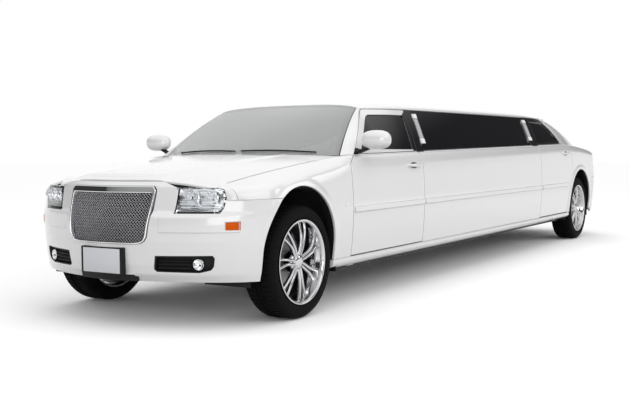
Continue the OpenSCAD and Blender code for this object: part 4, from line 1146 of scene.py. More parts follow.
class LIMO_OT_side_panels(bpy.types.Operator):
    """Fenders, stretched sides, quarter panels and sills"""

    bl_idname = "limo.side_panels"
    bl_label = "Side panels"

    def execute(self, context):
        fender_skin().both().build("fenders", "body", "white_paint", "front_fenders")
        stretched_side().both().build("stretched_sides", "body", "white_paint", "stretch_sides")
        quarter_skin().both().build("quarters", "body", "white_paint", "quarter_panels")
        arch_returns().both().build("arch_returns", "body", "black_plastic", sharp=50)
        sill().both().build("sills", "body", "white_paint", "rocker_panels", sharp=50)
        return {"FINISHED"}


# Roof and pillars


def roof_surf(a, b):
    w = clamp(a / ROOF_U, -1, 1)
    return roof_pt(lerp(roof_front(w), roof_rear(w), b / ROOF_V), w)


def a_post(a, b):
    """Windshield pillar: a from the glass to the door, b up the pillar."""
    k, v = a / 100.0, b / 600.0
    return shield_pt(SHIELD_EDGE, v).lerp(a_edge(v), k) + Vector((5, 6, 5)) * (4 * k * (1 - k))


def a_foot(a, b):
    """Small panel at the foot of the windshield pillar."""
    u, w = a / 100.0, b / 70.0
    x = lerp(F_AXLE - 574, lerp(F_AXLE - 676, A_FOOT_X + 5, w), u)
    y = lerp(lerp(COWL_W + 0.4, COWL_W + 6, u), through(SEAM, x, 1) - 2.5, w)
    return Vector((x, y, lerp(lerp(BELT_Z - 4, BELT_Z - 1, u), through(SEAM, x, 2), w)))


def d_post(a, b):
    """Rear pillar: a from the door to the rear window, b up the pillar."""
    u, k = a / 500.0, b / 400.0
    first, last = d_edge(POST_S), back_pt(BACK_EDGE, POST_S)
    rail = side_pt(lerp(first.x, last.x, u), 2 + POST_S)
    low, top = d_foot(u), first.lerp(rail, min(1.0, 5 * u)).lerp(last, u ** 4)
    v = POST_S * k
    left = d_edge(v) - d_edge(0).lerp(first, k)
    right = back_pt(BACK_EDGE, v) - back_pt(BACK_EDGE, 0).lerp(last, k)
    return low.lerp(top, k) + left.lerp(right, u) + Vector((0, 1, 0.3)) * (150 * u * (1 - u) * k * (1 - k))


def boot_strip(a, b):
    """Strip between the rear window and the boot lid."""
    s = a / BOOT_U
    x = lerp(BACK_X - 0.4 + 60 * s * s, boot_front(s * BACK_W / BOOT_W) + GAP, b / 25.0)
    return Vector((x, BACK_W * s, deck_z(x, BACK_W * s)))


def posts():
    out = Shell()
    out.sheet([(0, 2), (100, 2), (100, 592), (0, 592)], a_post, shift_back(SKIN_T), grid=(16, 40), edge=2.0)
    line = [(0, 0), (400, 0), (500, 0), (500, 398), (70, 398), (0, 330)]
    out.sheet(line, d_post, shift_back(18), grid=(30, 30), edge=2.0, step=30)
    line = [(0, 0), (100, 0), (100, 70), (0, 70)]
    out.sheet(line, a_foot, shift_back(4), grid=(30, 20), edge=2.0, face=UP)
    line = flat_box(BOOT_U, 25, 28)
    return out.both().sheet(line, boot_strip, shift_back(SKIN_T), grid=(50, 8), edge=1.5, step=60, face=UP)


def post_covers():
    out = Shell()
    posts = ((F_DOOR_X1 + 12, F_DOOR_X1 - B_W + 20, B_LEAN), (R_DOOR_X0 + C_W, R_DOOR_X0 + 4, C_LEAN))
    for x0, x1, lean in posts:
        line = post_line(x0, lean, span(0.004, 0.995, 8)) + post_line(x1, lean, span(0.995, 0.004, 8))
        out.sheet(flat_side(line), side_surf, shift_in(30), grid=(30, 30), edge=2.5)
    return out


class LIMO_OT_roof_and_pillars(bpy.types.Operator):
    """Roof skin, pillars and their dark covers"""

    bl_idname = "limo.roof_and_pillars"
    bl_label = "Roof and pillars"

    def execute(self, context):
        roof = Shell().sheet(
            flat_box(ROOF_U, ROOF_V, 40), roof_surf, shift_back(18), grid=(34, 90), step=60, edge=2.0, face=UP
        )
        roof.build("roof_skin", "body", "white_paint", "roof")
        posts().build("posts", "body", "white_paint", "pillars")
        post_covers().both().build("post_covers", "body", "black_gloss", "pillar_covers")
        return {"FINISHED"}


# Lids and bumpers


def hood_back(p, n, c):
    """Lower skin of the hood, nearer at the front edge."""
    return p - Vector((0, 0, lerp(12, 22, smooth(0, 120, c[1]))))


class LIMO_OT_lids(bpy.types.Operator):
    """Hood and boot lid"""

    bl_idname = "limo.lids"
    bl_label = "Hood and boot lid"

    def execute(self, context):
        line = flat_box(HOOD_U, HOOD_V, 60, 30)
        hood = Shell().sheet(line, hood_surf, hood_back, grid=(24, 24), step=24, face=UP)
        hood.build("hood_skin", "hood_lid", "white_paint", "hood")
        line = flat_box(BOOT_U, BOOT_DECK + BOOT_FACE, 60, 40)
        lid = Shell().sheet(line, boot_surf, shift_back(LID_T), grid=(30, 20), step=24, face=UP - 0.5 * AHEAD)
        lid.build("boot_skin", "boot", "white_paint", "boot_lid")
        return {"FINISHED"}


def front_bumper():
    lamp = lamp_lines()
    cx, cz = FRONT_ARCH
    lip = math.degrees(math.asin((SEAM_Z - cz) / ARCH_R))
    wing = [(wing_turn(cx + ARCH_R, z), z) for z in (290, 340, 400)]
    wing += [(wing_turn(x, z), z) for x, z in arc(cx, cz, ARCH_R, 0, lip, 18)]
    wing += on_nose([(820, SEAM_Z), (LAMP_OUT + 1, SEAM_Z), lamp[2], lamp[1], lamp[0], lamp[6]])
    wing += on_nose([(LAMP_IN + 12, NOSE_Z - 9), (LAMP_IN - 28, NOSE_Z + 8), (LAMP_IN - 88, NOSE_Z + 30)])
    holes = [on_nose(grille_lines(5)), on_nose([(-210, 330), (-230, 298), (230, 298), (210, 330)])]
    for lines in (fog_lines(), marker_lines()):
        holes += [on_nose(lines), on_nose([(-y, z) for y, z in lines])]
    return Shell().sheet(
        mirrored(wing), nose_surf, shift_back(BUMPER_T), holes=holes, grid=(20, 18), step=12, face=AHEAD
    )


def rear_bumper():
    end = 89.6 * TURN
    line = mirrored([(end, 290), (end, TAIL_SEAM_Z)])
    return Shell().sheet(line, tail_surf, shift_back(BUMPER_T), grid=(26, 20), face=-AHEAD)


def bumper_strip():
    """Raised strip beside the grille, cut out round the marker lamp."""
    line = on_nose([(388, 590), (824, 590), (824, 681), (388, 681)])
    marker = inset(on_nose(marker_lines()), -2)
    return Shell().sheet(
        line, lambda a, z: nose_surf(a, z) * 1.0012, shift_back(8), holes=[marker], grid=(20, 18), step=10,
        edge=3.5, face=AHEAD,
    )


class LIMO_OT_bumpers(bpy.types.Operator):
    """Front and rear bumper skins"""

    bl_idname = "limo.bumpers"
    bl_label = "Bumpers"

    def execute(self, context):
        front_bumper().build("front_bumper_skin", "body", "white_paint", "front_bumper")
        rear_bumper().build("rear_bumper_skin", "body", "white_paint", "rear_bumper")
        bumper_strip().both().build("bumper_strips", "body", "white_paint")
        return {"FINISHED"}


# Doors and glass

STRIP_OUT, STRIP_T, STRIP_EDGE = 13, 15, 5.0


def door_grip(hx, hz):
    """Bowed bar of a door handle."""
    rings = []
    for t in span(0.0, 1.0, 12):
        x = hx + lerp(118, -118, t)
        bulge = math.sin(math.pi * t)
        c = side_surf(x, side_s(x, hz)) + Vector((0, 2 + 24 * bulge ** 0.6, 0))
        r = lerp(9, 13, bulge)
        rings.append([c + Vector((0, 0.6 * r * p, r * q)) for p, q in circle(12)])
    return Shell().bar(rings)


def window_upright():
    """Dark upright at the rear of a front door's window."""
    line = post_line(F_DOOR_X1 + 70, B_LEAN, span(0.03, 0.87, 6))
    line += post_line(F_DOOR_X1 + 22, B_LEAN, span(0.95, 0.01, 6))
    return Shell().sheet(flat_side(line), off_side(1), shift_in(6), grid=(20, 30), edge=1.0)


def mirror_foot():
    places = ((-756, 4), (-868, 4), (-862, 40), (-818, 50), (-792, 40))
    line = [on_line(side_pt(F_AXLE + x, 2), 0, z) for x, z in places]
    return Shell().sheet(flat_side(line), off_side(4), shift_in(12), grid=(16, 12), edge=2.0)


def mirror_shell(c):
    rows = []
    for a in span(0.0, math.pi, 24):
        r = math.sin(a) ** 0.8
        x = 70 * math.cos(a)
        rows.append([c + Vector((x, 114 * r * swell(p, 0.8), 68 * r * swell(q, 0.8))) for p, q in circle(40)])
    return Shell().grid(rows, close_v=True)


def mirror_arm(foot):
    rings = []
    for i in range(7):
        c = Vector((F_AXLE - 800 - 4 * i, foot.y - 6 + 15 * i, foot.z + 16 + 5.5 * i))
        rings.append([c + Vector(((36 - 1.5 * i) * p, 0, (15 - 0.4 * i) * q)) for p, q in circle(16)])
    return Shell().bar(rings)


def mirror_face(c):
    ring = [c + Vector((-64, 66 * swell(p, 0.7), 38 * swell(q, 0.7))) for p, q in circle(32)]
    return Shell().bar([ring, [p - Vector((4.2, 0, 0)) for p in ring]])


class LIMO_OT_doors(bpy.types.Operator):
    """Four doors with their window frames, glass, mirrors, handles and strips"""

    bl_idname = "limo.doors"
    bl_label = "Doors"

    def execute(self, context):
        self.hang("front", front_door_lines(), F_DOOR_X1 + 175, "white_paint")
        self.hang("rear", rear_door_lines(), R_AXLE + 560, "black_gloss")
        foot = side_pt(F_AXLE - 780, 2)
        c = Vector((F_AXLE - 830, foot.y + 131, foot.z + 104))
        for side, m in SIDES:
            body = f"front_{side}_door"
            mirror_shell(c).turned(m).build(
                f"mirror_shell_{side}", body, "white_paint", f"mirror_{side}", sharp=80
            )
            mirror_arm(foot).turned(m).build(f"mirror_arm_{side}", body, "black_plastic", sharp=60)
            mirror_face(c).turned(m).build(f"mirror_face_{side}", body, "chrome", sharp=40)
        return {"FINISHED"}

    def hang(self, end, lines, handle_x, frame_look):
        """Left and right door of one end of the car."""
        low, up, hole = (flat_side(line) for line in lines)
        handle_z = side_pt(handle_x, 1).z - 8
        xs = [x for x, _ in low]
        reach = (max(xs) - 12, min(xs) + 8) if end == "front" else (max(xs) - 8, R_AXLE + ARCH_R + 112)
        strip = strip_lines(*reach, 12)
        # The black oval behind each handle is painted shade in the handle's cup.
        cup = flat_side(oval(handle_x, handle_z, 62, 24, 24))
        skin = Shell().sheet(low, side_surf, shift_in(DOOR_T - 6), grid=(45, 26))
        surround = Shell().sheet(up, side_surf, shift_in(FRAME_T - 6), holes=[hole], grid=(30, 30), edge=2.5)
        glass = Shell().sheet(hole, off_side(-10), shift_in(GLASS_T), edge=0.8, grid=(60, 50))
        strip = Shell().sheet(strip, off_side(STRIP_OUT), shift_in(STRIP_T), grid=(60, 10), edge=STRIP_EDGE)
        cup = Shell().sheet(cup, off_side(1.2), shift_in(2), grid=(20, 12), edge=1.0)
        for side, m in SIDES:
            body, tag = f"{end}_{side}_door", f"{end}_{side}"
            skin.turned(m).build(f"door_skin_{tag}", body, "white_paint", f"door_{tag}")
            surround.turned(m).build(f"window_surround_{tag}", body, frame_look)
            if end == "front":
                window_upright().turned(m).build(f"window_upright_{side}", body, "black_gloss")
                mirror_foot().turned(m).build(f"mirror_foot_{side}", body, "black_plastic")
            glass.turned(m).build(f"door_glass_{tag}", body, "tinted_glass", f"window_{tag}")
            strip.turned(m).build(f"door_strip_{tag}", body, "white_paint")
            grip = door_grip(handle_x, handle_z).turned(m)
            grip.build(f"door_handle_{tag}", body, "white_paint", sharp=60)
            # Painted shade in the handle's cup, in black gloss.
            cup.turned(m).build(f"handle_cup_{tag}", body, "black_gloss")


def pane(pt):
    return lambda a, b: pt(a / PANE_U, b / PANE_V)


def shield_border():
    """Black band printed round the inside of the windshield."""
    rim = span(-PANE_U, PANE_U, 32)
    hole = [(a * 0.955, 34 + 0.00004 * a * a) for a in rim] + [(a * 0.945, 578) for a in rim[::-1]]
    return Shell().sheet(
        flat_box(PANE_U, PANE_V, 32), lambda a, b: pane(shield_pt)(a, b) - Vector((2.6, 0, 5.6)),
        shift_back(1), holes=[hole], grid=(60, 40), step=40, edge=0.3, face=UP,
    )


def long_window():
    x0, x1 = F_DOOR_X1 - B_W + 19, R_DOOR_X0 + C_W + 1
    line = post_line(x0, B_LEAN, span(0.002, 0.997, 6))
    line += [on_line(side_pt(x, 2.997)) for x in span(x0 - B_LEAN, x1 - C_LEAN, 10)[1:-1]]
    line += post_line(x1, C_LEAN, span(0.997, 0.002, 6))
    line += [on_line(side_pt(x, 2.002)) for x in span(x1, x0, 10)[1:-1]]
    return Shell().sheet(flat_side(line), off_side(-8), shift_in(GLASS_T), grid=(120, 50), edge=1.0, step=60)


class LIMO_OT_glass(bpy.types.Operator):
    """Windshield, rear window and the long side windows"""

    bl_idname = "limo.glass"
    bl_label = "Glass"

    def execute(self, context):
        line = flat_box(PANE_U, PANE_V, 32)
        like = {"grid": (60, 50), "step": 50, "edge": 1.0, "face": UP}
        shield = Shell().sheet(line, pane(shield_pt), shift_back(GLASS_T), **like)
        shield.build("windshield_glass", "body", "clear_glass", "windshield")
        shield_border().build("windshield_border", "body", "black_gloss")
        rear = Shell().sheet(line, pane(back_pt), shift_back(GLASS_T), **like)
        rear.build("rear_window_glass", "body", "tinted_glass", "rear_window")
        long_window().both().build("side_windows", "body", "tinted_glass", "stretch_windows")
        return {"FINISHED"}


# Wheels

SPOKE_FROM, SPOKE_STEPS = 44.0, 14
NUTS, NUT_R = 5, 57.0
VENTS, VENT_R = 36, 150.0


def rim_barrel():
    h, r = RIM_W / 2, RIM_R
    outer = [(r, h), (r + 0.4, h - 4), (r, h - 9), (r - 14, h - 16), (r - 16, h - 52), (r - 36, h - 80)]
    outer += [(r - 36, -20), (r - 16, 46 - h), (r - 14, 16 - h), (r, 9 - h), (r, -h)]
    inner = [(r - 12, -h), (r - 26, 24 - h), (r - 46, -20), (r - 46, h - 84), (r - 23, h - 50)]
    inner += [(r - 18, h - 16), (r - 13, h - 4), (r - 9, h - 0.6), (r - 5, h)]
    return Shell().spin((outer + inner)[::-1], 112)


def spoke_pair():
    """Two curved spokes that spread towards the rim."""
    out = Shell()
    for k in (-1, 1):
        rings = []
        for t in span(0.0, 1.0, SPOKE_STEPS):
            half = lerp(9.5, 8.0, t) + 4.0 * smooth(0.8, 1.0, t)
            mid = k * (lerp(11, 18, t) + 13 * smooth(0.35, 1.0, t)) + 10 * math.sin(math.pi * t)
            stand = RIM_W / 2 - 34 + 17 * math.sin(math.pi * (0.15 + 0.75 * t)) - 8 * t
            left = [(-half, -24), (-half, -8), (-0.75 * half, -3.4), (-0.3 * half, -0.7)]
            prof = left + [(-w, d) for w, d in left[::-1]]
            rings.append([Vector((lerp(SPOKE_FROM, RIM_R - 22, t), stand + d, mid + w)) for w, d in prof])
        out.bar(rings)
    return out


def wheel_hub():
    prof = [(0.5, -20), (72, -20), (72, 60), (66, 72), (58, 76)]
    prof += [(46, 78), (44, 82), (38, 86), (20, 89), (0.5, 90)]
    hub = Shell().spin(prof[::-1], 64, close=False)
    return hub.add(Shell().spin([(0.5, -20), (30.2, -20), (30.2, -19.5), (0.5, -19.5)], 48))


def wheel_nuts():
    nut = Shell().spin([(0.4, 18), (7, 18), (9, 15), (9, 0), (0.4, 0)], 6, close=False)
    return ring_of(nut.turned(Matrix.Translation((NUT_R, 66, 0))), NUTS, "wheel_chrome")


def brake_disc():
    return Shell().spin([(172, -21), (172, -48), (60, -48), (60, -60), (34, -60), (34, -21)], 96)


def wheel_painted_shade():
    """Painted shade: black discs stand for the shaded holes of the brake disc, and a black lining for the
    shaded inside of the rim.
    """
    h, r = RIM_W / 2, RIM_R
    painted_vent_shade = Shell().spin([(0.4, 1.2), (4.5, 1.2), (4.5, 0), (0.4, 0)], 12, close=False)
    # Black discs on the face of the brake disc: painted shade in its holes.
    out = ring_of(painted_vent_shade.turned(Matrix.Translation((VENT_R, -21.2, 0))), VENTS, "black_plastic")
    # Black lining over the inside of the rim barrel: painted shade.
    painted_rim_shade = [(r - 47, h - 86), (r - 47, -22), (r - 27.5, 30 - h)]
    painted_rim_shade += [(r - 29, 30 - h), (r - 49, -22), (r - 49, h - 86)]
    return out.add(Shell().spin(painted_rim_shade, 96))


def tyre_carcass():
    h, w, r = RIM_W / 2, TYRE_W / 2, RIM_R
    wall = [(r - 13, h - 17), (r + 1, h - 16.5), (r + 6, h - 9), (r + 14, w - 7), (r + 24, w - 3)]
    wall += [(r + 30, w - 1.6), (r + 33, w - 2.8), (r + 47, w - 1.0), (r + 58, w - 2), (r + 60, w - 3.6)]
    wall += [(r + 70, w - 7), (r + 78, w - 13), (r + 84, w - 22), (r + 87, w - 34), (r + 88, w - 56)]
    half = wall + [(r + 88, 44), (r + 87.8, 26), (r + 81, 25), (r + 81, 15)]
    half += [(r + 87.8, 14), (r + 87.8, 5), (r + 81, 4)]
    inner = [(r - 13, 30 - h), (r + 60, 40 - w), (r + 72, 0), (r + 60, w - 40), (r - 13, h - 30)]
    return Shell().spin((half + [(p, -y) for p, y in half[::-1]] + inner)[::-1], 160)


def tread(count):
    """Slanted shoulder blocks on both sides of a tyre."""
    wide = 2 * math.pi * TYRE_R / count
    block = Shell()
    for sign in (1, -1):
        rings = []
        for y, slant in ((28, 0.0), (54, 5.0), (78, 9.0), (94, 11.0)):
            top = TYRE_R - max(0.0, (y - 61) * 0.12) - max(0.0, (y - 82) * 0.35)
            ring = []
            for r, share in ((top - 9, -0.33), (top, -0.29), (top, 0.29), (top - 9, 0.33)):
                z = slant + share * wide
                ring.append(Vector((math.sqrt(r * r - z * z), sign * y, z)))
            rings.append(ring)
        block.bar(rings[::sign])
    return ring_of(block, count, "tyre")


class LIMO_OT_wheels(bpy.types.Operator):
    """Twin-spoke wheels, brake discs and tyres"""

    bl_idname = "limo.wheels"
    bl_label = "Wheels"

    def execute(self, context):
        sizes = context.scene.limo_sizes
        spokes = ring_of(spoke_pair(), sizes.spoke_pairs, "wheel_chrome")
        metal = rim_barrel().add(spokes).add(wheel_hub()).add(wheel_nuts())
        # dark holds the painted shade of the disc holes and of the inside of the rim.
        disc, dark = brake_disc(), wheel_painted_shade()
        rubber = tyre_carcass().add(tread(sizes.tread_blocks))
        for end, x in (("front", F_AXLE), ("rear", R_AXLE)):
            for side, mirror in SIDES:
                m = mirror @ Matrix.Translation((x, TRACK / 2, TYRE_R))
                tag, body = f"{end}_{side}", f"{end}_{side}_wheel"
                metal.turned(m).build(f"rim_{tag}", body, "wheel_chrome", f"wheel_{tag}", sharp=38)
                disc.turned(m).build(f"brake_disc_{tag}", body, "brushed_disc")
                # Painted shade in the disc holes and inside the rim, in black plastic.
                dark.turned(m).build(f"rim_dark_{tag}", body, "black_plastic")
                rubber.turned(m).build(f"tyre_{tag}_rubber", body, "tyre", f"tyre_{tag}", sharp=40)
        return {"FINISHED"}


# Grille

GRILLE_LEAN = [(500, 0), (600, 0), (640, 3), (690, 13), (720, 21), (NOSE_Z + 10, 70)]
MESH_LOW, MESH_HIGH, MESH_BACK_LOW = 520.0, NOSE_Z - 30, 515.0
WIRE_X, WIRE_Y, WIRE_WEAVE = 1.9, 1.5 * 0.7071, 1.8


def grille_face(a, z):
    p = round_end(a / TURN, z, NOSE_X0, NOSE_DEPTH, NOSE_P, NOSE_Q, GRILLE_LEAN, 1)
    return p + Vector((GRILLE_OUT - 0.4, 0, 0))


def grille_frame():
    low, top = GRILLE_LOW_W, GRILLE_TOP_W
    hole = [(low - 70, 527), (low - 26, 533), (low - 3, 548), (low + 10, 576)]
    hole = mirrored([*hole, (top - 26, NOSE_Z - 44), (top - 34, NOSE_Z - 36)])
    return Shell().sheet(
        on_nose(grille_lines(6.5)), grille_face, shift_back(24), holes=[on_nose(hole)], grid=(14, 12),
        step=10, edge=5.0, face=AHEAD,
    )


def mesh_depth(y, z):
    return nose_at(y) - 0.8 * value_at(GRILLE_LEAN, z) - 20


def mesh_half_width(z):
    wide = lerp(GRILLE_LOW_W - 6, GRILLE_TOP_W - 12, clamp((z - 560) / 270, 0, 1))
    return wide - 40 * (1 - smooth(515, 560, z))


def mesh_cell(pitch):
    """Two wires that cross, one bowed over the other."""
    cell = Shell()
    for rise, weave in ((1, -WIRE_WEAVE), (-1, WIRE_WEAVE)):
        rings = []
        for t in span(-0.5, 0.5, 4):
            c = Vector((weave * math.cos(math.pi * t), pitch * t, pitch * t * rise))
            rings.append([c + Vector((WIRE_X * p, WIRE_Y * q, -rise * WIRE_Y * q)) for p, q in circle(6)])
        cell.bar(rings)
    return cell


def grille_wires(pitch):
    cell = mesh_cell(pitch)
    wires = Shell()
    for j in range(int((MESH_HIGH - MESH_LOW) / pitch) + 1):
        z = MESH_LOW + pitch * j
        m = int(2 * mesh_half_width(z) / pitch)
        row = repeated(cell, m + 1, "wire_chrome", step=(0, pitch, 0))
        wires.add(row.turned(Matrix.Translation((0, -m * pitch / 2, z))))
    wires.points = [Vector((p.x + mesh_depth(p.y, p.z), p.y, p.z)) for p in wires.points]
    return wires


def grille_back():
    """Dark sheet behind the mesh."""
    rows = []
    for y in span(20 - GRILLE_TOP_W, GRILLE_TOP_W - 20, 24):
        row = []
        for z in span(MESH_BACK_LOW, MESH_HIGH + 4, 8):
            narrow = lerp(0.84, 1.0, (z - MESH_BACK_LOW) / (MESH_HIGH - MESH_BACK_LOW))
            row.append(Vector((mesh_depth(y, z) - 26, y * narrow, z)))
        rows.append(row)
    rear = [[p - Vector((4, 0, 0)) for p in row] for row in rows[::-1]]
    return Shell().grid(rows).grid(rear)


class LIMO_OT_grille(bpy.types.Operator):
    """Chrome grille frame with its wire mesh"""

    bl_idname = "limo.grille"
    bl_label = "Grille"

    def execute(self, context):
        pitch = context.scene.limo_sizes.mesh_pitch / MM
        grille_frame().build("grille_chrome", "body", "chrome", "grille_frame")
        grille_wires(pitch).build("grille_wires", "body", "wire_chrome", "grille_mesh", sharp=60)
        grille_back().build("grille_back", "body", "black_plastic")
        return {"FINISHED"}


# Lamps and plate


def headlamps():
    """Lens, dish, cells, projectors and rim of the headlamps."""
    line = on_nose(lamp_lines())
    lens = Shell().sheet(line, off_nose(2), shift_back(3), grid=(20, 18), step=12, edge=1.5, face=AHEAD)
    lens.both().build("headlamp_lens", "body", "lens", "headlamps")
    ribs = Shell().sheet(
        line, lambda a, z: nose_surf(a, z) - Vector((34 + 6 * math.sin(z / 9.0), 0, 0)), shift_back(3),
        grid=(12, 6), step=8, edge=1.0, face=AHEAD,
    )
    cells, projectors = Shell(), Shell()
    for y, z, r in ((560, 790, 50), (670, 792, 44)):
        turn = Matrix.Translation((nose_spot(y, z).x, y, z)) @ Matrix.Rotation(math.radians(-90), 4, "Z")
        cup = [(r, -14), (r - 3, -12), (r - 8, -22), (0.72 * r, -44)]
        cup += [(0.6 * r, -46), (0.6 * r, -58), (r, -58)]
        cells.add(Shell().spin(cup[::-1], 48).turned(turn))
        ball = [(0.4, -20), (0.3 * r, -22), (0.48 * r, -27), (0.58 * r, -36), (0.58 * r, -44), (0.4, -44)]
        projectors.add(Shell().spin(ball[::-1], 40, close=False).turned(turn))
    for y0, y1, z in ((480, 520, 760), (480, 520, 772), (492, 716, 728), (492, 716, 740)):
        middles = [Vector((nose_spot(y, z).x - 24, y, z)) for y in span(y0, y1, 8)]
        cells.bar([[c + Vector((4 * p, 0, 4 * q)) for p, q in circle(8)] for c in middles])
    ribs.both().build("headlamp_dish", "body", "reflector")
    cells.both().build("headlamp_cells", "body", "chrome")
    projectors.both().build("headlamp_projectors", "body", "lens")
    rim = Shell().sheet(
        line, off_nose(6), shift_back(12), holes=[inset(line, 6)], grid=(12, 12), step=10, edge=1.0,
        face=AHEAD,
    )
    rim.both().build("headlamp_rim", "body", "black_plastic")


def fog_lamps():
    """Dark recesses with slats and round fog lamps."""
    line = on_nose(fog_lines())
    recess = Shell().sheet(line, off_nose(38), shift_back(3), grid=(24, 16), step=14, edge=1.0, face=AHEAD)
    recess.sheet(
        line, off_nose(4), shift_back(36), holes=[inset(line, 7)], grid=(14, 14), step=12, edge=1.5,
        face=AHEAD,
    )
    middles = [Vector((nose_at(y) - 32, y, 378)) for y in span(366, 560, 18)]
    slat = Shell().bar([[c + Vector((9 * p, 0, 5 * q)) for p, q in circle(8)] for c in middles])
    recess.add(repeated(slat, 3, "black_plastic", step=(0, 0, 22)))
    recess.both().build("fog_recess", "body", "black_plastic", "fog_lamps")
    y, z = 606, 401
    turn = Matrix.Translation((nose_spot(y, z).x - 2, y, z)) @ Matrix.Rotation(math.radians(-72), 4, "Z")
    bowl = [(0.4, -26), (14, -24), (24, -17), (29, -8), (32, -4), (34, -6), (34, -36), (0.4, -36)]
    lamp = Shell().spin(bowl[::-1], 48, close=False).turned(turn)
    lamp.both().build("fog_lamp_glass", "body", "bright_trim")


def coloured_lamps():
    """Amber corner markers and red tail lamps."""
    marker = Shell().sheet(
        on_nose(marker_lines()), lambda a, z: nose_surf(a, z) + Vector((0.5, 0.5, 0)), shift_back(14),
        grid=(12, 12), step=8, edge=2.5, face=Vector((0.5, 1, 0)),
    )
    marker.both().build("corner_markers", "body", "amber_lens", "marker_lamps")
    line = [(turn * TURN, z) for turn, z in ((45, 728), (67, 728), (67, 1004), (49, 1004))]
    tail = Shell().sheet(
        line, tail_surf, shift_back(30), grid=(18, 18), step=14, edge=5.0, face=Vector((-1, 0.5, 0))
    )
    tail.both().build("tail_lamp_lens", "body", "red_lens", "tail_lamps")


def plate():
    """Blank plate in its bracket, over the lower duct."""
    x = nose_at(0) - value_at(NOSE_LEAN, 490) + 0.4
    blank = Shell().block(x + 5, x + 9.5, -152, 152, 339, 489, 2.0)
    blank.build("plate_blank", "body", "pale_plate", "number_plate")
    rim = Shell()
    bars = ((-160, 160, 486, 496), (-160, 160, 330, 341), (-168, -150, 330, 496), (150, 168, 330, 496))
    for bar in bars:
        rim.block(x - 26, x + 9.0, *bar, 2.0)
    rim.build("plate_bracket", "body", "black_plastic")
    duct = Shell()
    for depth, end in ((30, 236), (34, -236)):
        duct.grid([[Vector((nose_at(y) - depth, y, z)) for z in (292, 336)] for y in span(-end, end, 12)])
    duct.build("lower_duct", "body", "black_plastic")


def opera_piece(x, lean, low, high, half, out, n=1):
    """Half-round bar up a dark post, from one share of its height to another."""
    rings = []
    for t in span(low, high, n):
        c = side_pt(x - lean * t, 2 + t)
        rings.append([c + Vector((half * p, out * max(0.0, q) ** 0.7 - 6, 0)) for p, q in circle(16)])
    return Shell().bar(rings)


def opera_lamps():
    bars, ends = Shell(), Shell()
    low, high, count = 0.30, 0.80, 14
    for x, lean in ((F_DOOR_X1 - 142, B_LEAN), (R_DOOR_X0 + 142, C_LEAN)):
        for i in range(count):
            foot, head = (lerp(low, high, (i + k) / count) for k in (0.08, 0.92))
            bars.add(opera_piece(x, lean, foot, head, 24, 26))
        bars.add(opera_piece(x, lean, low, high, 21, 22))
        for foot, head in ((0.19, 0.305), (0.795, 0.90)):
            ends.add(opera_piece(x, lean, foot, head, 27, 29, 4))
    bars.both().build("opera_lamp_bars", "body", "frosted", "opera_lamps")
    ends.both().build("opera_lamp_ends", "body", "white_paint")


class LIMO_OT_lamps(bpy.types.Operator):
    """Headlamps, fog lamps, markers, tail lamps, opera lamps and plate"""

    bl_idname = "limo.lamps"
    bl_label = "Lamps"

    def execute(self, context):
        headlamps()
        fog_lamps()
        coloured_lamps()
        plate()
        opera_lamps()
        return {"FINISHED"}


# Trim


def belt(a, b):
    """Thin bar along the belt."""
    middles = [side_pt(x, 2) + Vector((0, 2, 3)) for x in span(a, b, 24)]
    return Shell().bar([[c + Vector((0, 5.5 * p, 6.5 * q)) for p, q in circle(8)] for c in middles])


def wipers():
    out = Shell()
    for y0, y1, v in ((80, 640, 0.022), (-560, 30, 0.018)):
        rings = []
        for t in span(0.0, 1.0, 16):
            c = shield_pt(lerp(y0, y1, t) / COWL_W, v + 0.012 * math.sin(math.pi * t)) + Vector((3, 0, 8))
            rings.append([c + Vector((4 * p, 0, 6 * q)) for p, q in circle(6)])
        out.bar(rings)
    return out


class LIMO_OT_trim(bpy.types.Operator):
    """Belt strips, side strips, side repeaters, wipers and exhaust tips"""

    bl_idname = "limo.trim"
    bl_label = "Trim"

    def execute(self, context):
        strip = Shell().sheet(
            strip_lines(F_DOOR_X1 - 2, R_DOOR_X0 + 2, 20), off_side(STRIP_OUT), shift_in(STRIP_T),
            grid=(90, 10), edge=STRIP_EDGE, step=30,
        )
        strip.both().build("side_strip", "body", "white_paint")
        blink = flat_side(oval(F_AXLE - 515, 706, 17, 13, 20))
        repeater = Shell().sheet(blink, off_side(5), shift_in(8), grid=(8, 8), step=5, edge=2.5)
        repeater.both().build("side_repeaters", "body", "reflector")
        belt(F_DOOR_X1 - 104, R_DOOR_X0 + 150).both().build("belt_strip", "body", "bright_trim")
        for end, a, b in (("front", F_AXLE - 790, F_DOOR_X1 + 32), ("rear", R_DOOR_X0 - 40, R_AXLE + 560)):
            for side, m in SIDES:
                tag = f"{end}_{side}"
                belt(a, b).turned(m).build(f"belt_strip_{tag}", f"{tag}_door", "bright_trim")
        wipers().build("wipers", "body", "black_plastic")
        pipe = [(40, 0), (41.5, -3), (41.5, -120), (37, -120), (37, -3), (38.5, 0)]
        turn = Matrix.Translation((REAR + 100, 470, 246)) @ Matrix.Rotation(math.radians(90), 4, "Z")
        Shell().spin(pipe[::-1], 40).turned(turn).both().build("exhaust_tips", "body", "chrome")
        return {"FINISHED"}


# Cabin

SEAT_TOP = ROOF_Z - 310
SEAM_FROM_Z, FLUTE_DEPTH = 330, 7


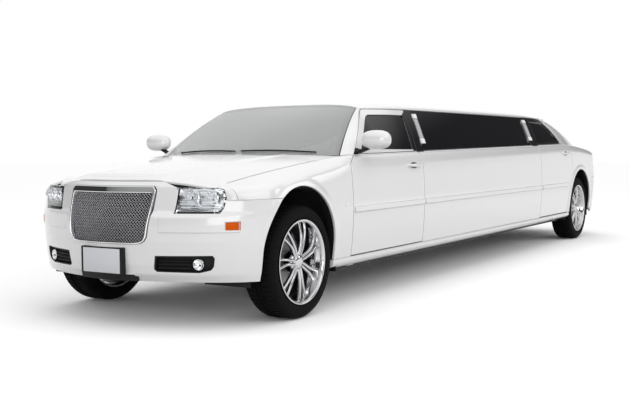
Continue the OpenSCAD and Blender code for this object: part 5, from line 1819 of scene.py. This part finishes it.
def cushion(line, a, b, flutes, across=True):
    """Padded seat: a side outline drawn from a to b, crowned, with sewn flutes."""
    line = dense(line, 45)
    n = max(8, int((b - a) / 28))
    cu, cz = (sum(p[k] for p in line) / len(line) for k in (0, 1))
    rings = []
    for t in span(0.0, 1.0, n):
        crown = 1 - 0.10 * abs(2 * t - 1) ** 6
        groove = FLUTE_DEPTH * (abs(math.sin(math.pi * flutes * t)) ** 0.35 - 1)
        ring = []
        for u, z in line:
            du, dz = u - cu, z - cz
            sewn = z > SEAM_FROM_Z
            size = crown + groove / math.hypot(du, dz) if sewn else crown
            at = (cu + du * size, cz + dz * size if sewn else z)
            way = lerp(a, b, t)
            ring.append(Vector((at[0], way, at[1])) if across else Vector((way, *at)))
        rings.append(ring)
    return Shell().bar(rings)


def seat_line(x, foot):
    """Side outline of a seat at x that ends in a foot."""
    front = [(x + 320, 480), (x + 280, 540), (x - 150, 510)]
    top = SEAT_TOP
    back = [(x - 330, top - 180), (x - 310, top - 20), (x - 390, top), (x - 420, top - 160)]
    return [(x + 300, foot[-1][1]), *front, *back, *foot]


def seats():
    out = Shell()
    x = F_AXLE - 1340
    for y0, y1 in ((130, HALF_W - 301), (301 - HALF_W, -130)):
        out.add(cushion(seat_line(x, [(x - 310, 500), (x - 300, 300)]), y0, y1, 4))
    x, well = R_AXLE + 680, R_AXLE + WELL_R + 27
    half = HALF_W - 351
    out.add(cushion(seat_line(x, [(x - 330, 482), (well, 481), (well, 421)]), -half, half, 9))
    y, top = 211 - HALF_W, BELT_Z - 74
    bench = [(y, 300), (y + 430, 300), (y + 450, 470), (y + 130, 490), (y + 70, top), (y, top)]
    return out.add(cushion(bench, R_AXLE + 1150, F_AXLE - 2100, 18, across=False))


def steering_wheel():
    out = Shell().spin([(180 + 14 * c, 14 * s) for c, s in circle(16)], 64)
    rings = [[Vector((x, 6 * q - 4, 17 * p)) for p, q in circle(8)] for x in span(40, 176, 5)]
    out.add(ring_of(Shell().bar(rings), 4, "trim_plastic"))
    pad = [(0.5, 20), (40, 18), (56, 10), (62, 0), (60, -16), (0.5, -16)]
    column = [(0.5, -12), (26, -12), (26, -110), (0.5, -110)]
    out.add(Shell().spin(pad[::-1], 40, close=False)).add(Shell().spin(column[::-1], 32, close=False))
    lean = Matrix.Rotation(math.radians(-68), 4, "Y") @ Matrix.Rotation(math.radians(90), 4, "X")
    return out.turned(Matrix.Translation((F_AXLE - 940, HALF_W - 571, BELT_Z - 129)) @ lean)


class LIMO_OT_cabin(bpy.types.Operator):
    """Seats and steering wheel"""

    bl_idname = "limo.cabin"
    bl_label = "Cabin"

    def execute(self, context):
        obj = seats().build("seat_leather", "body", "leather", "seats", sharp=50)
        steering_wheel().build("steering_wheel_rim", "body", "trim_plastic", "steering_wheel", sharp=50)
        return {"FINISHED"}


class LIMO_OT_carried_nodes(bpy.types.Operator):
    """Finishes for the solids that show as they are"""

    bl_idname = "limo.carried_nodes"
    bl_label = "Underbody and frame"

    def execute(self, context):
        looks = {
            "underbody": ("floor_pan", "hinge_posts", "front_subframe", "rear_subframe"),
            "black_plastic": ("bulkheads", "wheel_liners"),
            "trim_plastic": ("dashboard",),
            "aluminium": ("engine",),
            "steel": ("exhaust",),
            "cast_iron": ("knuckle_left", "knuckle_right"),
        }
        for name, nodes in looks.items():
            for node in nodes:
                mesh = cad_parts[node].data
                mesh.materials.clear()
                mesh.materials.append(FINISH[name])
        return {"FINISHED"}


# Stage

FLOOR_HALF = 60.0
SOFTBOXES = (
    ("top_softbox", (1.5, 1.0, 7.5), (0, 0, 0), (11, 5), 30),
    ("front_softbox", (9.5, 4.5, 2.2), (3.0, 0, 0.6), (4, 3), 120),
    ("side_softbox", (3.0, 8.5, 4.5), (0, 0.9, 0.6), (10, 3), 160),
    ("rear_softbox", (-6.5, 8.0, 3.5), (-3.2, 0.6, 1.0), (4, 3), 90),
)
PHOTO_FOCAL, PHOTO_WIDTH, SENSOR = 934.4, 628, 36.0
CAMERA_AT, CAMERA_TURN = (F_AXLE + 4983, 4088, 1073), (211.803, -3.054, -0.460)


def math_node(tree, kind, a, b):
    """Math node whose inputs are sockets or plain values."""
    node = tree.nodes.new("ShaderNodeMath")
    node.operation = kind
    for socket, value in zip(node.inputs, (a, b)):
        if isinstance(value, float):
            socket.default_value = value
        else:
            tree.links.new(value, socket)
    return node.outputs[0]


def ramp_node(tree, source, low, high):
    node = tree.nodes.new("ShaderNodeMapRange")
    node.interpolation_type = "SMOOTHSTEP"
    node.inputs["From Min"].default_value, node.inputs["From Max"].default_value = low, high
    tree.links.new(source, node.inputs["Value"])
    return node.outputs["Result"]


def studio_floor(looks):
    """White floor that keeps shadows and throws little light back."""
    h = FLOOR_HALF
    mesh = bpy.data.meshes.new("studio_floor")
    mesh.from_pydata([(-h, -h, 0), (h, -h, 0), (h, h, 0), (-h, h, 0)], [], [(0, 1, 2, 3)])
    floor = bpy.data.objects.new("studio_floor", mesh)
    bpy.context.scene.collection.objects.link(floor)
    mat = bpy.data.materials.new("studio_floor")
    mat.use_nodes = True
    tree = mat.node_tree
    shader, path = tree.nodes["Principled BSDF"], tree.nodes.new("ShaderNodeLightPath")
    mix = tree.nodes.new("ShaderNodeMix")
    mix.data_type = "RGBA"
    mix.inputs["A"].default_value = (*looks.bounce, 1)
    mix.inputs["B"].default_value = (*looks.floor, 1)
    seen = path.outputs["Is Camera Ray"]
    for ray in ("Is Glossy Ray", "Is Transmission Ray"):
        seen = math_node(tree, "MAXIMUM", seen, path.outputs[ray])
    tree.links.new(seen, mix.inputs["Factor"])
    tree.links.new(mix.outputs["Result"], shader.inputs["Base Color"])
    shader.inputs["Roughness"].default_value = 1.0
    shader.inputs["Specular IOR Level"].default_value = 0.0
    mesh.materials.append(mat)


def studio_world(scene):
    """White surroundings with a dark band that glossy surfaces mirror."""
    world = bpy.data.worlds.new("studio")
    scene.world = world
    world.use_nodes = True
    tree = world.node_tree
    back = tree.nodes["Background"]
    coord, split = tree.nodes.new("ShaderNodeTexCoord"), tree.nodes.new("ShaderNodeSeparateXYZ")
    path = tree.nodes.new("ShaderNodeLightPath")
    tree.links.new(coord.outputs["Generated"], split.inputs[0])
    x, y, z = (split.outputs[k] for k in "XYZ")
    band = math_node(tree, "SUBTRACT", ramp_node(tree, z, 0.02, 0.14), ramp_node(tree, z, 0.36, 0.58))
    behind = math_node(tree, "MULTIPLY", ramp_node(tree, x, 0.1, -0.4), ramp_node(tree, y, 0.0, -0.35))
    ahead = math_node(tree, "SUBTRACT", 1.0, behind)
    dark = math_node(tree, "MULTIPLY", ahead, math_node(tree, "MULTIPLY", band, 0.96))
    glossy = math_node(tree, "MULTIPLY", path.outputs["Is Glossy Ray"], dark)
    fill_light = math_node(tree, "MULTIPLY", path.outputs["Is Diffuse Ray"], 0.14)
    strength = math_node(tree, "SUBTRACT", math_node(tree, "SUBTRACT", 1.0, glossy), fill_light)
    tree.links.new(strength, back.inputs["Strength"])
    back.inputs["Color"].default_value = (1, 1, 1, 1)


def softbox(scene, name, at, aim, size, power):
    light = bpy.data.lights.new(name, "AREA")
    light.shape, light.size, light.size_y, light.energy = "RECTANGLE", *size, power
    lamp = bpy.data.objects.new(name, light)
    lamp.location = at
    lamp.rotation_euler = (Vector(aim) - Vector(at)).to_track_quat("-Z", "Y").to_euler()
    scene.collection.objects.link(lamp)


def photo_camera(scene):
    cam = bpy.data.cameras.new("photo_camera")
    cam.sensor_width, cam.lens = SENSOR, PHOTO_FOCAL * SENSOR / PHOTO_WIDTH
    view = bpy.data.objects.new("photo_camera", cam)
    yaw, pitch, roll = (math.radians(k) for k in CAMERA_TURN)
    ahead = Vector((math.cos(pitch) * math.cos(yaw), math.cos(pitch) * math.sin(yaw), math.sin(pitch)))
    right = ahead.cross(UP).normalized()
    up = right.cross(ahead)
    side = right * math.cos(roll) + up * math.sin(roll)
    head = up * math.cos(roll) - right * math.sin(roll)
    turn = Matrix((side, head, -ahead)).transposed().to_4x4()
    view.matrix_world = Matrix.Translation(Vector(CAMERA_AT) * MM) @ turn
    scene.collection.objects.link(view)
    scene.camera = view


class LIMO_OT_stage(bpy.types.Operator):
    """Studio floor, light and camera"""

    bl_idname = "limo.stage"
    bl_label = "Stage"

    def execute(self, context):
        scene = context.scene
        scene.view_settings.view_transform = "Standard"
        studio_floor(scene.limo_looks)
        studio_world(scene)
        for box in SOFTBOXES:
            softbox(scene, *box)
        photo_camera(scene)
        return {"FINISHED"}


class LIMO_PT_panel(bpy.types.Panel):
    """Steps that build the car"""

    bl_idname = "LIMO_PT_panel"
    bl_label = "Limousine"
    bl_space_type = "VIEW_3D"
    bl_region_type = "UI"
    bl_category = "Limousine"

    def draw(self, context):
        for group in (context.scene.limo_sizes, context.scene.limo_looks):
            for key in group.__annotations__:
                self.layout.prop(group, key)
        for step in STEPS:
            self.layout.operator(step.bl_idname)


STEPS = (
    LIMO_OT_stage,
    LIMO_OT_side_panels,
    LIMO_OT_roof_and_pillars,
    LIMO_OT_lids,
    LIMO_OT_bumpers,
    LIMO_OT_doors,
    LIMO_OT_glass,
    LIMO_OT_wheels,
    LIMO_OT_grille,
    LIMO_OT_lamps,
    LIMO_OT_trim,
    LIMO_OT_cabin,
    LIMO_OT_carried_nodes,
)
CLASSES = (LimoSizes, LimoLooks, *STEPS, LIMO_PT_panel)


def register():
    for cls in CLASSES:
        bpy.utils.register_class(cls)
    bpy.types.Scene.limo_sizes = bpy.props.PointerProperty(type=LimoSizes)
    bpy.types.Scene.limo_looks = bpy.props.PointerProperty(type=LimoLooks)


def unregister():
    del bpy.types.Scene.limo_sizes, bpy.types.Scene.limo_looks
    for cls in reversed(CLASSES):
        bpy.utils.unregister_class(cls)


def main():
    register()
    make_finishes(bpy.context.scene.limo_looks)
    for step in STEPS:
        group, name = step.bl_idname.split(".")
        getattr(getattr(bpy.ops, group), name)()
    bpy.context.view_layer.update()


if __name__ == "__main__":
    main()
